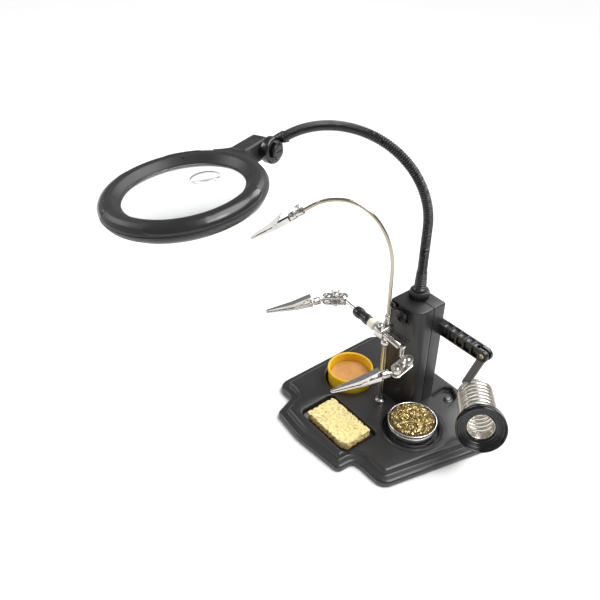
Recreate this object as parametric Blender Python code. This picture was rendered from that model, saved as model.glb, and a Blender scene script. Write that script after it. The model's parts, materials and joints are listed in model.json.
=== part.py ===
"""Helping-hand soldering stand: a weighted base with three wells, a magnifier on a gooseneck, three
clips on a post and a wire, and an iron holder on a folding arm. Every length below is in
millimetres.
"""
import math

import bmesh
import bpy
from mathutils import Matrix, Vector

MM = 0.001
GAP = 0.3
STEPS = 24
# The post's foot is the layout's zero. The whole stand is moved so that the origin is under its middle.
ORIGIN = Vector((15.84, 74.25, 0.0))

# Base: corners of the outline as x, y, radius, and how far each following edge's ledge reaches in.
BASE_CORNERS = [
    (-95.5, 84.0, 18.0), (-95.5, -72.0, 14.0), (-68.5, -72.0, 4.0), (-59.5, -97.5, 8.0),
    (-18.0, -101.5, 60.0), (41.5, -96.0, 7.0), (43.0, -75.0, 7.0), (84.0, -74.5, 14.0), (124.0, 84.0, 18.0),
]
LEDGE_SHARE = [1.0, 1.0, 1.0, 1.0, 1.0, 1.0, 1.0, 1.0, 0.25]
DECK_Z = 14.0
WELL_FLOOR = 6.0
WALL = 2.4
TUB_AT = Vector((-49.6, -0.8, WELL_FLOOR + GAP))
TUB_RADIUS = 26.0
TUB_HEIGHT = 22.5
TIN_AT = Vector((49.6, -0.8, WELL_FLOOR + GAP))
TIN_RADIUS = 26.0
TIN_HEIGHT = 18.8
TIN_WELL_AT = Vector((49.0, -1.2, 0.0))
TIN_WELL_RADIUS = 30.2
SPONGE_AT = Vector((-2.7, -57.9, WELL_FLOOR + GAP))
SPONGE_SIZE = (62.0, 37.0, 10.6)
SPONGE_WELL = (38.0, 23.0, 7.0)
POCKET = [(28.0, 50.5, 3.0), (54.5, 50.5, 4.0), (48.5, 71.0, 5.0), (35.0, 78.5, 4.0), (27.5, 72.0, 3.0)]
POCKET_SCREW = Vector((41.6, 64.6, 0.0))

# Column.
COLUMN_CORNERS = [(-10.6, 12.0, 4.0), (29.3, 12.0, 14.0), (29.3, 52.4, 2.4), (-10.6, 52.4, 2.4)]
COLUMN_TOP = 141.8
SEAM_Y = 35.1
JACK_AT = Vector((-5.0, 12.0, 136.2))
ROCKER_AT = Vector((8.0, 13.4, 130.2))
ROCKER_SIZE = (14.0, 5.4, 12.6)

# Gooseneck, in the upright plane from the column's top along NECK_WAY.
NECK_FOOT = Vector((4.6, 38.0, 0.0))
NECK_WAY = Vector((-0.813, -0.582, 0.0))
NECK_SIDE = Vector((0.582, -0.813, 0.0))
NECK_RADIUS = 5.2
NECK_GAP = 2.6
SLEEVE_TOP = 172.0
NECK_BEND_Z = 222.5
NECK_BEND = 90.0
NECK_END_ANGLE = 125.0

# Magnifier.
LENS_AT = Vector((-104.6, -158.0, 275.6))
LENS_NORMAL = Vector((-0.07, -0.09, 0.993)).normalized()
TILT_AXIS = Vector((-0.25, 0.968, 0.0)).cross(LENS_NORMAL).normalized()
HEAD_WAY = LENS_NORMAL.cross(TILT_AXIS)
LENS_RADIUS = 55.9
FRAME_INNER = 54.4
FRAME_OUTER = 74.8
YOKE_AT = LENS_AT + HEAD_WAY * 102.0 + TILT_AXIS * 15.0
YOKE_RADIUS = 13.0
INSET_RADIUS = 13.6

# Post, cross bar and clips.
POST_RADIUS = 3.3
POST_NECK_Z = 100.0
POST_TOP = 122.0
BAR_Z = 115.5
BAR_AT = Vector((0.0, -7.8, BAR_Z))
BAR_WAY = Vector((0.9965, -0.084, 0.0))
LEFT_BALL = -66.0
LEFT_CLAMP_WAY = Vector((-0.62, -0.78, 0.0))
LEFT_CLIP_WAY = Vector((-0.42, -0.90, -0.09))
RIGHT_BALL = Vector((43.0, -11.8, 106.5))
RIGHT_CLAMP_WAY = Vector((0.10, -0.99, -0.10))
RIGHT_CLIP_WAY = Vector((-0.33, -0.94, -0.10))
CLAMP_SPAN = 17.0
CLAMP_HALF_GAP = 3.2
BALL = 4.5
CLIP_BACK = 33.0
CLIP_FRONT = 35.0

# Bendable wire arm, in a plane of its own along NECK_WAY.
WIRE_RADIUS = 1.9
WIRE_TOP = 254.0
WIRE_RISE = 70.0
WIRE_BEND = 50.0
WIRE_END_ANGLE = 126.0

# Folding arm and iron holder.
ARM_AT = Vector((26.5, 50.8, 111.3))
ARM_END = Vector((85.6, 50.8, 111.3))
ARM_HALF = 6.4
ARM_WIDTH = 11.0
LINK_END = Vector((70.5, 50.8, 63.0))
HOLDER_BACK = Vector((77.8, 59.0, 50.2))
HOLDER_WAY = Vector((0.655, -0.702, 0.279))
COIL_START = 5.0
COIL_LENGTH = 64.0
COIL_RADIUS = 18.7
FUNNEL_RADIUS = 24.4
FUNNEL_HOLE = 13.4
HOLDER_TILT = 12.0


def material(name, colour, roughness, metallic=0.0, alpha=1.0):
    made = bpy.data.materials.new(name)
    made.use_nodes = True
    shader = made.node_tree.nodes["Principled BSDF"]
    shader.inputs["Base Color"].default_value = (*colour, 1.0)
    shader.inputs["Roughness"].default_value = roughness
    shader.inputs["Metallic"].default_value = metallic
    shader.inputs["Alpha"].default_value = alpha
    return made


def turned_to(way):
    """Rotation that stands local Z along way."""
    return Vector(way).to_track_quat("Z", "Y").to_matrix().to_4x4()


def clip_frame(way):
    """Rotation with local X along way and local Z as near to up as it can be."""
    x = Vector(way).normalized()
    y = Vector((0.0, 0.0, 1.0)).cross(x).normalized()
    return Matrix((x, y, x.cross(y))).transposed().to_4x4()


def place(name, bm, finish, at=Vector(), turn=None, helper=False):
    """Makes the piece's object, with its mesh in metres and its origin at the point at."""
    bmesh.ops.remove_doubles(bm, verts=bm.verts, dist=0.0005)
    bmesh.ops.recalc_face_normals(bm, faces=bm.faces)
    bm.transform(Matrix.Scale(MM, 4))
    if turn is not None:
        bm.transform(turn)
    mesh = bpy.data.meshes.new(name)
    bm.to_mesh(mesh)
    bm.free()
    mesh.shade_smooth()
    mesh.set_sharp_from_angle(angle=math.radians(35))
    mesh.materials.append(finish)
    piece = bpy.data.objects.new(name, mesh)
    bpy.context.scene.collection.objects.link(piece)
    piece.parent = bpy.data.objects["stand_origin"]
    piece.location = Vector(at) * MM
    if helper:
        piece.hide_render = True
        piece.display_type = "WIRE"
    return piece


def boolean(piece, other, operation="DIFFERENCE"):
    cut = piece.modifiers.new(other.name, "BOOLEAN")
    cut.object = other
    cut.operation = operation
    cut.solver = "EXACT"


def lathe(profile, steps=STEPS):
    """Solid turned about Z from (radius, height) points; one that leaves the axis is closed to a ring."""
    bm = bmesh.new()
    verts = [bm.verts.new((radius, 0.0, height)) for radius, height in profile]
    edges = [bm.edges.new(pair) for pair in zip(verts, verts[1:])]
    if profile[0][0] > 0.0:
        edges.append(bm.edges.new((verts[-1], verts[0])))
    bmesh.ops.spin(
        bm, geom=verts + edges, cent=(0, 0, 0), axis=(0, 0, 1), angle=math.tau, steps=steps, use_merge=True
    )
    return bm


def tube(inner, outer, low, high):
    return [(outer, low), (outer, high), (inner, high), (inner, low)]


def rod(radius, low, high, chamfer=0.0):
    return [(0.0, low), (radius - chamfer, low), (radius, low + chamfer), (radius, high - chamfer),
            (radius - chamfer, high), (0.0, high)]


def ball_points(radius, centre, start, end, count=7):
    """Points of a turned sphere's outline, from the angle start to end, counted from the lowest point."""
    angles = [math.radians(start + (end - start) * i / count) for i in range(count + 1)]
    return [(max(radius * math.sin(a), 0.0), centre - radius * math.cos(a)) for a in angles]


def rounded(corners, inset=0.0, shares=None, steps=6):
    """Outline through corners (x, y, radius), moved in by inset, with an arc at each corner."""
    count = len(corners)
    shares = shares or [1.0] * count
    points = [Vector(corner[:2]) for corner in corners]
    area = sum(a.x * b.y - b.x * a.y for a, b in zip(points, points[1:] + points[:1]))
    lines = []
    for i in range(count):
        along = (points[(i + 1) % count] - points[i]).normalized()
        inward = Vector((-along.y, along.x)) * (1 if area > 0 else -1)
        lines.append((points[i] + inward * inset * shares[i], along))
    outline = []
    for i in range(count):
        (a, back), (b, ahead) = lines[i - 1], lines[i]
        turn = back.cross(ahead)
        corner = a + back * ((b - a).cross(ahead) / turn)
        convex = (turn > 0) == (area > 0)
        radius = max(corners[i][2] + (-inset if convex else inset), 1.2)
        angle = back.angle(ahead)
        reach = radius * math.tan(angle / 2)
        middle = corner + (ahead - back).normalized() * (radius / math.cos(angle / 2))
        first = corner - back * reach - middle
        sweep = math.copysign(angle, turn)
        for step in range(steps + 1):
            spun = Matrix.Rotation(sweep * step / steps, 2) @ first
            outline.append(middle + spun)
    return outline


def stack(levels):
    """Solid through outlines of equal point counts, each given with its height, lowest first."""
    bm = bmesh.new()
    rings = [[bm.verts.new((x, y, z)) for x, y in outline] for outline, z in levels]
    count = len(rings[0])
    for low, high in zip(rings, rings[1:]):
        for i in range(count):
            j = (i + 1) % count
            bm.faces.new((low[i], low[j], high[j], high[i]))
    bm.faces.new(rings[0][::-1])
    bm.faces.new(rings[-1])
    return bm


def block(size, at=(0, 0, 0), bevel=0.0):
    bm = bmesh.new()
    bmesh.ops.create_cube(bm, size=1.0, matrix=Matrix.Translation(at) @ Matrix.Diagonal((*size, 1.0)))
    if bevel:
        bmesh.ops.bevel(
            bm, geom=bm.edges[:], offset=bevel, segments=2, profile=0.5, affect="EDGES", material=-1
        )
    return bm


def rectangle(half_x, half_y, radius):
    return [
        (-half_x, -half_y, radius), (half_x, -half_y, radius), (half_x, half_y, radius),
        (-half_x, half_y, radius),
    ]


def swept(name, points, radius, finish, at=Vector(), sides_level=2, taper=0.0):
    """Round bar along points, as a curve with a bevel and filled caps. taper narrows its two ends."""
    curve = bpy.data.curves.new(name, "CURVE")
    curve.dimensions = "3D"
    curve.bevel_depth = radius * MM
    curve.bevel_resolution = sides_level
    curve.use_fill_caps = True
    spline = curve.splines.new("POLY")
    spline.points.add(len(points) - 1)
    for target, point in zip(spline.points, points):
        target.co = (*((Vector(point) - Vector(at)) * MM), 1.0)
    if taper:
        spline.points[0].radius = spline.points[-1].radius = taper
    spline.use_smooth = True
    curve.materials.append(finish)
    piece = bpy.data.objects.new(name, curve)
    bpy.context.scene.collection.objects.link(piece)
    piece.parent = bpy.data.objects["stand_origin"]
    piece.location = Vector(at) * MM
    return piece


def in_plane(foot, along, height):
    return Vector((foot.x, foot.y, 0.0)) + NECK_WAY.normalized() * along + Vector((0.0, 0.0, height))


def bend_point(foot, bend, bend_z, angle):
    """Point on the arc that an upright stem turns into, angle degrees past upright."""
    turn = math.radians(angle)
    return in_plane(foot, bend * (1.0 - math.cos(turn)), bend_z + bend * math.sin(turn))


def bend_way(angle):
    turn = math.radians(angle)
    return NECK_WAY.normalized() * math.sin(turn) + Vector((0.0, 0.0, math.cos(turn)))


def with_short_ends(points, end=1.6):
    """Adds a point close to each end, where a tapered sweep starts to narrow."""
    first, last = points[0], points[-1]
    after = first + (points[1] - first).normalized() * end
    before = last + (points[-2] - last).normalized() * end
    return [first, after, *points[1:-1], before, last]


def make_base(dark, steel, rubber, chrome):
    def outline(inset):
        return rounded(BASE_CORNERS, inset, LEDGE_SHARE)

    shell = place("base_shell", stack([
        (outline(0.0), 1.0), (outline(0.6), 6.4), (outline(2.4), 8.2), (outline(8.6), 8.6),
        (outline(9.6), 12.0), (outline(12.0), DECK_Z),
    ]), dark)
    cavity = place(
        "cavity_cutter",
        stack(
            [
                (outline(2.6), -1.0), (outline(2.8), 5.6), (outline(11.6), 6.2), (outline(12.4), 10.6),
                (outline(14.4), 11.6),
            ]
        ),
        dark, helper=True,
    )
    cups = [
        place("tub_cup", lathe(rod(30.2, 3.9, 20.0)), dark, Vector((TUB_AT.x, TUB_AT.y, 0)), helper=True),
        place("tin_cup", lathe(rod(TIN_WELL_RADIUS + WALL, 3.9, 20.0)), dark, TIN_WELL_AT, helper=True),
        place(
            "sponge_cup",
            stack(
                [
                    (rounded(rectangle(SPONGE_WELL[0] + WALL, SPONGE_WELL[1] + WALL, 8.0)), 3.9),
                    (rounded(rectangle(SPONGE_WELL[0] + WALL, SPONGE_WELL[1] + WALL, 8.0)), 20.0),
                ]
            ),
            dark, Vector((SPONGE_AT.x, SPONGE_AT.y, 0)), helper=True,
        ),
        place(
            "pocket_cup", stack([(rounded(POCKET, -WALL), 5.6), (rounded(POCKET, -WALL), 20.0)]), dark,
            helper=True,
        ),
        place("post_cup", lathe(rod(7.0, 3.9, 20.0)), dark, helper=True),
    ]
    for cup in cups:
        boolean(cavity, cup)
    wells = [
        place(
            "tub_well",
            lathe(
                [
                    (0, WELL_FLOOR), (26.2, WELL_FLOOR), (27.6, 7.4), (27.6, 13.2), (28.8, 14.4),
                    (28.8, 20), (0, 20),
                ]
            ),
            dark, Vector((TUB_AT.x, TUB_AT.y, 0)), helper=True,
        ),
        place(
            "tin_well",
            lathe(
                [
                    (0, WELL_FLOOR), (TIN_WELL_RADIUS - 3, WELL_FLOOR), (TIN_WELL_RADIUS - 0.8, 7.4),
                    (TIN_WELL_RADIUS - 0.5, 12.6), (TIN_WELL_RADIUS + 1.2, 14.4),
                    (TIN_WELL_RADIUS + 1.2, 20), (0, 20),
                ],
                32,
            ),
            dark, TIN_WELL_AT, helper=True,
        ),
        place(
            "sponge_well",
            stack(
                [
                    (rounded(rectangle(SPONGE_WELL[0] - 1.6, SPONGE_WELL[1] - 1.6, 5.4)), WELL_FLOOR),
                    (rounded(rectangle(SPONGE_WELL[0] - 0.6, SPONGE_WELL[1] - 0.6, 6.4)), 7.2),
                    (rounded(rectangle(SPONGE_WELL[0] - 0.4, SPONGE_WELL[1] - 0.4, 6.6)), 12.8),
                    (rounded(rectangle(SPONGE_WELL[0] + 1.2, SPONGE_WELL[1] + 1.2, 8.0)), 14.4),
                    (rounded(rectangle(SPONGE_WELL[0] + 1.2, SPONGE_WELL[1] + 1.2, 8.0)), 20.0),
                ]
            ),
            dark, Vector((SPONGE_AT.x, SPONGE_AT.y, 0)), helper=True,
        ),
        place(
            "pocket_well",
            stack([(rounded(POCKET, 1.6), 8.0), (rounded(POCKET, 0.8), 9.0), (rounded(POCKET, 0.0), 20.0)]),
            dark, helper=True,
        ),
        place("post_hole", lathe(rod(3.6, 6.5, 20.0)), dark, helper=True),
    ]
    for cutter in [cavity, *wells]:
        boolean(shell, cutter)
    place("ballast_plate", stack([(outline(3.4), 1.2), (outline(3.4), 3.4)]), steel)
    for number, (x, y) in enumerate([(-78, 66), (-78, -56), (70, -58), (96, 62)], 1):
        place(
            f"rubber_foot_{number}", lathe([(0, 0), (6.0, 0), (6.5, 0.9), (0, 0.9)]), rubber,
            Vector((x, y, 0)),
        )
    place("pocket_screw", lathe([(0, 0), (2.0, 0), (4.6, 0.3), (4.4, 1.6), (2.6, 2.9), (0, 3.1)], 16), chrome,
          POCKET_SCREW + Vector((0, 0, 8.3)))


def make_wells_contents(yellow, flux, sponge, chrome, brass):
    top, lip = TUB_HEIGHT, TUB_RADIUS - 2.6
    place("flux_tub", lathe([
        (0, 0), (23.4, 0), (24.6, 1.2), (TUB_RADIUS, top - 1.0), (TUB_RADIUS - 0.7, top), (lip + 0.6, top),
        (lip, top - 0.8), (lip - 0.6, 3.0), (lip - 1.4, 2.0), (0, 2.0),
    ]), yellow, TUB_AT)
    place("flux_cake", lathe([(0, 0), (21.4, 0), (21.8, 1.0), (22.3, 12.6), (21.2, 13.2), (0, 12.8)]), flux,
          TUB_AT + Vector((0, 0, 2.0 + GAP)))
    half_x, half_y, thick = SPONGE_SIZE[0] / 2, SPONGE_SIZE[1] / 2, SPONGE_SIZE[2]
    outline = rounded([(-half_x, -half_y, 1.5), (half_x - 7, -half_y, 1.5), (half_x, -half_y + 5, 1.5),
                       (half_x, half_y, 1.5), (-half_x, half_y, 1.5)], steps=2)
    place("sponge", stack([(outline, 0.0), (outline, thick)]), sponge, SPONGE_AT)
    inner = TIN_RADIUS - 0.8
    place("wool_tin", lathe([
        (0, 0), (TIN_RADIUS - 1.0, 0), (TIN_RADIUS - 0.4, 0.6), (TIN_RADIUS - 0.4, TIN_HEIGHT - 1.4),
        (TIN_RADIUS, TIN_HEIGHT - 0.6), (TIN_RADIUS - 0.5, TIN_HEIGHT), (inner, TIN_HEIGHT - 0.4),
        (inner - 0.2, 0.8), (0, 0.8),
    ], 32), chrome, TIN_AT)
    place(
        "brass_wool",
        lathe(
            [
                (0, 0), (inner - 1.2, 0), (inner - 0.8, TIN_HEIGHT - 2.0), (21.0, TIN_HEIGHT + 1.6),
                (13.0, TIN_HEIGHT + 4.4), (0, TIN_HEIGHT + 5.6),
            ]
        ),
        brass, TIN_AT + Vector((0, 0, 0.8 + GAP)),
    )


def make_column(dark, cell, socket, rocker):
    def full(inset, low, high):
        return stack([(rounded(COLUMN_CORNERS, inset), low), (rounded(COLUMN_CORNERS, inset), high)])

    bottom = DECK_Z + GAP
    hollow = place("column_hollow", full(WALL, bottom + WALL, COLUMN_TOP - WALL), dark, helper=True)
    rear_half = place("rear_half", block((80, 40, 200), (5, SEAM_Y + 20 - GAP / 2, 80)), dark, helper=True)
    front_half = place("front_half", block((80, 40, 200), (5, SEAM_Y - 20 + GAP / 2, 80)), dark, helper=True)
    notch = place("arm_notch", block((28, 26, 36), (31, 55.2, ARM_AT.z)), dark, helper=True)
    jack_hole = place("jack_hole", lathe(rod(3.5, -8, 8)), dark, JACK_AT, turned_to((0, 1, 0)), helper=True)
    width, _, height = ROCKER_SIZE
    opening = place("rocker_opening", block((width + 1.0, 12, height + 1.2)), dark, ROCKER_AT, helper=True)
    sleeve_hole = place(
        "sleeve_hole", lathe(rod(5.6, -20, 20)), dark, NECK_FOOT + Vector((0, 0, COLUMN_TOP)), helper=True
    )
    levels = [(rounded(COLUMN_CORNERS, inset), z) for inset, z in
              [(0.0, bottom), (0.0, COLUMN_TOP - 1.2), (1.2, COLUMN_TOP)]]
    front = place("column_front_shell", stack(levels), dark)
    for cutter in (hollow, rear_half, jack_hole, opening, sleeve_hole):
        boolean(front, cutter)
    rear = place("column_rear_shell", stack(levels), dark)
    for cutter in (hollow, front_half, notch, sleeve_hole):
        boolean(rear, cutter)
    for number in range(3):
        place(
            f"battery_cell_{number + 1}",
            lathe(
                [
                    (0, -22), (5.0, -22), (5.2, -21.6), (5.2, 20.8), (4.8, 21.2), (1.8, 21.2), (1.8, 22),
                    (0, 22),
                ],
                12,
            ),
            cell, Vector((-2.0 + 11.2 * number, 27.0, 44.0)),
        )
    place(
        "power_jack",
        lathe([(0, -5), (3.2, -5), (3.2, 1.0), (2.8, 1.4), (2.0, 1.4), (2.0, -3), (0, -3)], 16), socket,
        JACK_AT, turned_to((0, -1, 0)),
    )
    place("rocker_switch", block(ROCKER_SIZE, (0, -1.2, 0), 0.6), rocker, ROCKER_AT)


def make_neck(gloss, dark):
    foot = NECK_FOOT
    place(
        "neck_collar",
        lathe(
            [
                (5.8, COLUMN_TOP + GAP), (10.4, COLUMN_TOP + GAP), (10.4, COLUMN_TOP + 7.6),
                (9.4, COLUMN_TOP + 8.8), (5.8, COLUMN_TOP + 8.8),
            ]
        ),
        dark, foot,
    )
    profile = [
        (0, COLUMN_TOP - 6), (5.3, COLUMN_TOP - 6), (5.3, COLUMN_TOP + 9.2), (7.4, COLUMN_TOP + 9.2),
        (7.4, COLUMN_TOP + 11.4), (5.6, COLUMN_TOP + 12), (5.6, SLEEVE_TOP - 0.8), (5.0, SLEEVE_TOP),
        (0, SLEEVE_TOP),
    ]
    place("neck_foot_sleeve", lathe(profile), dark, foot)
    half = NECK_GAP / 2

    def arc(start, end, count):
        return [
            bend_point(foot, NECK_BEND, NECK_BEND_Z, start + (end - start) * i / count)
            for i in range(count + 1)
        ]

    joint_1 = in_plane(foot, 0, SLEEVE_TOP + half)
    joint_2 = in_plane(foot, 0, NECK_BEND_Z)
    joint_3 = bend_point(foot, NECK_BEND, NECK_BEND_Z, 90.0)
    slip = math.degrees(half / NECK_BEND)
    straight = [
        in_plane(foot, 0, SLEEVE_TOP + NECK_GAP), in_plane(foot, 0, 198),
        in_plane(foot, 0, NECK_BEND_Z - half),
    ]
    swept("neck_lower_tube", with_short_ends(straight), NECK_RADIUS, gloss, joint_1, 2, 0.62)
    swept(
        "neck_middle_tube", with_short_ends(arc(slip, 90.0 - slip, 12)), NECK_RADIUS, gloss, joint_2, 2,
        0.62,
    )
    swept(
        "neck_upper_tube", with_short_ends(arc(90.0 + slip, NECK_END_ANGLE, 5)), NECK_RADIUS, gloss,
        joint_3, 2, 0.62,
    )
    end = bend_point(foot, NECK_BEND, NECK_BEND_Z, NECK_END_ANGLE)
    way = bend_way(NECK_END_ANGLE)
    sleeve = place("neck_end_sleeve", lathe([(0, 0), (5.6, 0), (6.2, 0.8), (6.2, 20), (0, 20)], 16), dark,
                   end + way * GAP, turned_to(way))
    clearance = place(
        "yoke_clearance", lathe(rod(YOKE_RADIUS + GAP, -5.6, 40)), dark, YOKE_AT, turned_to(-TILT_AXIS),
        helper=True,
    )
    outside = place(
        "yoke_side", lathe(rod(YOKE_RADIUS + GAP, -30, 40)), dark, YOKE_AT, turned_to(-TILT_AXIS),
        helper=True,
    )
    boolean(sleeve, clearance)
    boolean(sleeve, outside)


def make_lamp(dark, glass, board, chrome):
    turn = turned_to(LENS_NORMAL)
    head_turn = Matrix((TILT_AXIS, HEAD_WAY, LENS_NORMAL)).transposed().to_4x4()
    inner, outer = FRAME_INNER, FRAME_OUTER
    upper = [
        (inner, 1.6), (inner + 2.4, 4.2), (inner + 6.2, 8.4), (outer - 10.4, 9.5), (outer - 6.4, 8.8),
        (outer - 2.8, 6.2), (outer - 0.5, 2.6), (outer, 0.15), (outer - 2.3, 0.15), (outer - 3.1, 2.0),
        (outer - 4.8, 4.6), (outer - 7.6, 6.6), (outer - 10.4, 7.3), (inner + 7.2, 6.5), (inner + 4.6, 3.2),
        (inner + 3.8, 1.6),
    ]
    lower = [(radius, -height) for radius, height in upper]
    head_at = LENS_AT + HEAD_WAY * 90.5 - TILT_AXIS * 1.4 + LENS_NORMAL * 0.6
    head = place("head_block", block((20, 35, 20), bevel=3.0), dark, head_at, head_turn, helper=True)
    boolean(head, place("ring_core", lathe(rod(outer - 4.5, -14, 30), 48), dark, LENS_AT, turn, helper=True))
    boolean(
        head, place("lower_room", lathe(rod(outer + GAP, -20, 0.0), 48), dark, LENS_AT, turn, helper=True)
    )
    frame = place("lamp_upper_frame", lathe(upper, 48), dark, LENS_AT, turn)
    boolean(frame, head, "UNION")
    place("lamp_lower_frame", lathe(lower, 48), dark, LENS_AT, turn)
    inset_at = LENS_AT + HEAD_WAY * 27.0
    hole = place("inset_hole", lathe(rod(INSET_RADIUS + GAP, -9, 9)), glass, inset_at, turn, helper=True)
    lens = place(
        "main_lens",
        lathe(
            [
                (0, -3.2), (30, -2.4), (LENS_RADIUS - 4, -1.3), (LENS_RADIUS, -1.2), (LENS_RADIUS, 1.2),
                (LENS_RADIUS - 4, 1.3), (30, 2.4), (0, 3.2),
            ],
            32,
        ),
        glass, LENS_AT, turn,
    )
    boolean(lens, hole)
    place("inset_lens", lathe([
        (0, -3.6), (8, -3.1), (INSET_RADIUS, -1.6), (INSET_RADIUS, 1.6), (8, 3.1), (0, 3.6),
    ]), glass, inset_at, turn)
    place("led_board", lathe(tube(outer - 13.6, outer - 4.6, -0.8, 0.8), 32), board, LENS_AT, turn)
    side = turned_to(TILT_AXIS)
    place("lamp_yoke", lathe(tube(2.6, YOKE_RADIUS, -5.2, 5.0)), dark, YOKE_AT, side)
    place("tilt_knob", lathe([
        (0, -4.9), (2.2, -4.9), (2.2, 5.3), (7.6, 5.3), (8.0, 6.0), (7.8, 8.2), (6.2, 9.2), (0, 9.2),
    ], 16), chrome, YOKE_AT, side)


def make_post(chrome, dark_plastic):
    place(
        "post",
        lathe(
            [
                (0, 6.8), (POST_RADIUS, 6.8), (POST_RADIUS, DECK_Z + GAP), (6.0, DECK_Z + GAP), (6.0, 16.4),
                (5.2, 17.2), (POST_RADIUS, 17.2), (POST_RADIUS, 94), (4.6, 94.6), (4.6, 99),
                (3.8, POST_NECK_Z), (2.2, POST_NECK_Z), (2.2, POST_TOP), (0, POST_TOP),
            ],
            16,
        ),
        chrome,
    )
    swivel = place("swivel_block", block((12, 19.6, 11), (0, -4.0, BAR_Z), 1.2), chrome)
    boolean(
        swivel, place("neck_bore", lathe(rod(2.5, -20, 20), 16), chrome, Vector((0, 0, BAR_Z)), helper=True)
    )
    boolean(
        swivel,
        place("bar_bore", lathe(rod(3.6, -20, 20), 16), chrome, BAR_AT, turned_to(BAR_WAY), helper=True),
    )
    place(
        "lock_screw",
        lathe(
            [
                (0, 0), (2.4, 0), (2.4, 2.4), (1.4, 2.8), (1.4, 4), (4.4, 6.4), (4.8, 8.2), (3.6, 9.6),
                (0, 7.6),
            ],
            12,
        ),
        chrome, Vector((-1.0, -8.0, BAR_Z + 5.5 + GAP)),
    )
    bar = [(0, LEFT_BALL - BALL)] + ball_points(BALL, LEFT_BALL, 20, 155, 6) + [
        (2.0, LEFT_BALL + 5.0), (2.0, -9.0), (3.3, -8.4), (3.3, 30.0), (0, 30.0)]
    place("cross_bar", lathe(bar, 16), chrome, BAR_AT, turned_to(BAR_WAY))
    knob = [
        (2.3, -43), (4.6, -43), (6.2, -41.4), (6.6, -36), (5.4, -30), (6.0, -24), (5.6, -17.6),
        (5.0, -17.0), (5.6, -16.6), (5.4, -9.6), (2.3, -9.6),
    ]
    place("clamp_knob", lathe(knob, 16), dark_plastic, BAR_AT, turned_to(BAR_WAY))
    drop = BAR_AT + BAR_WAY * (30.0 + GAP + 2.6)
    elbow = place("bar_elbow", lathe(rod(2.6, -12.0, 3.4, 0.6), 12), chrome, drop)
    across = RIGHT_BALL - Vector((drop.x, drop.y, RIGHT_BALL.z))
    elbow_arm = place("elbow_arm", lathe(rod(2.2, 0, across.length), 12), chrome, RIGHT_BALL - across,
                      turned_to(across), helper=True)
    elbow_ball = place(
        "elbow_ball", lathe(ball_points(BALL, 0, 0, 180, 8), 16), chrome, RIGHT_BALL, helper=True
    )
    boolean(elbow, elbow_arm, "UNION")
    boolean(elbow, elbow_ball, "UNION")


def make_clamp(side, ball_at, clamp_way, clip_way, chrome):
    """Two plates and a wing screw that grip the bar's ball and the clip's, and the clip itself."""
    frame = clip_frame(clamp_way)
    along = Vector(clamp_way).normalized()
    middle = ball_at + along * (CLAMP_SPAN / 2)
    half = CLAMP_SPAN / 2
    for name, sign in (("top", 1), ("bottom", -1)):
        low, high = sorted((sign * CLAMP_HALF_GAP, sign * (CLAMP_HALF_GAP + 1.8)))
        outline = rounded(rectangle(half + 5.4, 5.4, 5.2), steps=5)
        plate = place(
            f"{side}_clamp_{name}_plate", stack([(outline, low), (outline, high)]), chrome, middle, frame
        )
        for index, (x, radius) in enumerate(((-half, 3.6), (0.0, 2.1), (half, 3.6))):
            cutter = place(
                f"{side}_{name}_hole_{index}", lathe(rod(radius, -9, 9), 12), chrome, middle,
                frame @ Matrix.Translation((x * MM, 0, 0)), helper=True,
            )
            boolean(plate, cutter)
    place(
        f"{side}_wing_screw",
        lathe(
            [
                (0, -8.4), (3.0, -8.4), (3.0, -5.4), (1.7, -5.4), (1.7, 5.4), (3.4, 5.4), (3.4, 7.6),
                (2.4, 8.4), (5.0, 11.4), (4.6, 13.4), (0, 10.6),
            ],
            12,
        ),
        chrome, middle, frame if side == "left" else frame @ Matrix.Rotation(math.pi, 4, "X"),
    )
    clip_ball = ball_at + along * CLAMP_SPAN
    make_clip(side, clip_ball, clip_way, chrome, True)


def make_clip(side, back, way, chrome, has_ball):
    """Clip whose jaws' pivot lies CLIP_BACK in front of its back end, with the sprung jaw on top."""
    frame = clip_frame(way)
    pivot = back + Vector(way).normalized() * CLIP_BACK
    along = turned_to((1, 0, 0))
    if has_ball:
        stud = ball_points(BALL, -CLIP_BACK, 0, 150, 6) + [
            (1.5, -CLIP_BACK + 4.4), (1.5, -CLIP_BACK + 8), (4.2, -CLIP_BACK + 8.4), (4.2, -17.4),
            (3.4, -16.8), (0, -16.8),
        ]
    else:
        stud = [
            (0, -CLIP_BACK), (3.6, -CLIP_BACK), (4.2, -CLIP_BACK + 0.8), (4.2, -17.4), (3.4, -16.8),
            (0, -16.8),
        ]
    place(f"{side}_clip_ferrule", lathe(stud, 16), chrome, pivot, frame @ along)

    def jaw(points, half_widths):
        bm = bmesh.new()
        rows = [
            [bm.verts.new((x, half * sign, z)) for x, z, half in zip(*zip(*points), half_widths)]
            for sign in (-1, 1)
        ]
        bm.faces.new(rows[0])
        bm.faces.new(rows[1][::-1])
        count = len(points)
        for i in range(count):
            j = (i + 1) % count
            bm.faces.new((rows[0][j], rows[0][i], rows[1][i], rows[1][j]))
        return bm

    place(
        f"{side}_clip_fixed_jaw",
        jaw(
            [
                (-16.4, -3.6), (2.0, -3.6), (CLIP_FRONT - 1, -1.6), (CLIP_FRONT, -0.15), (0.0, -0.15),
                (-7.0, 1.6), (-16.4, 1.6),
            ],
            [3.0, 3.8, 1.3, 1.1, 3.6, 3.4, 2.6],
        ),
        chrome, pivot, frame,
    )
    place(
        f"{side}_clip_sprung_jaw",
        jaw(
            [
                (0.0, 0.15), (CLIP_FRONT, 0.15), (CLIP_FRONT - 1, 1.6), (6.0, 4.4), (-15.0, 9.2),
                (-15.4, 8.2), (-3.6, 3.4),
            ],
            [3.6, 1.1, 1.2, 3.4, 3.0, 3.0, 3.4],
        ),
        chrome, pivot, frame,
    )


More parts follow.
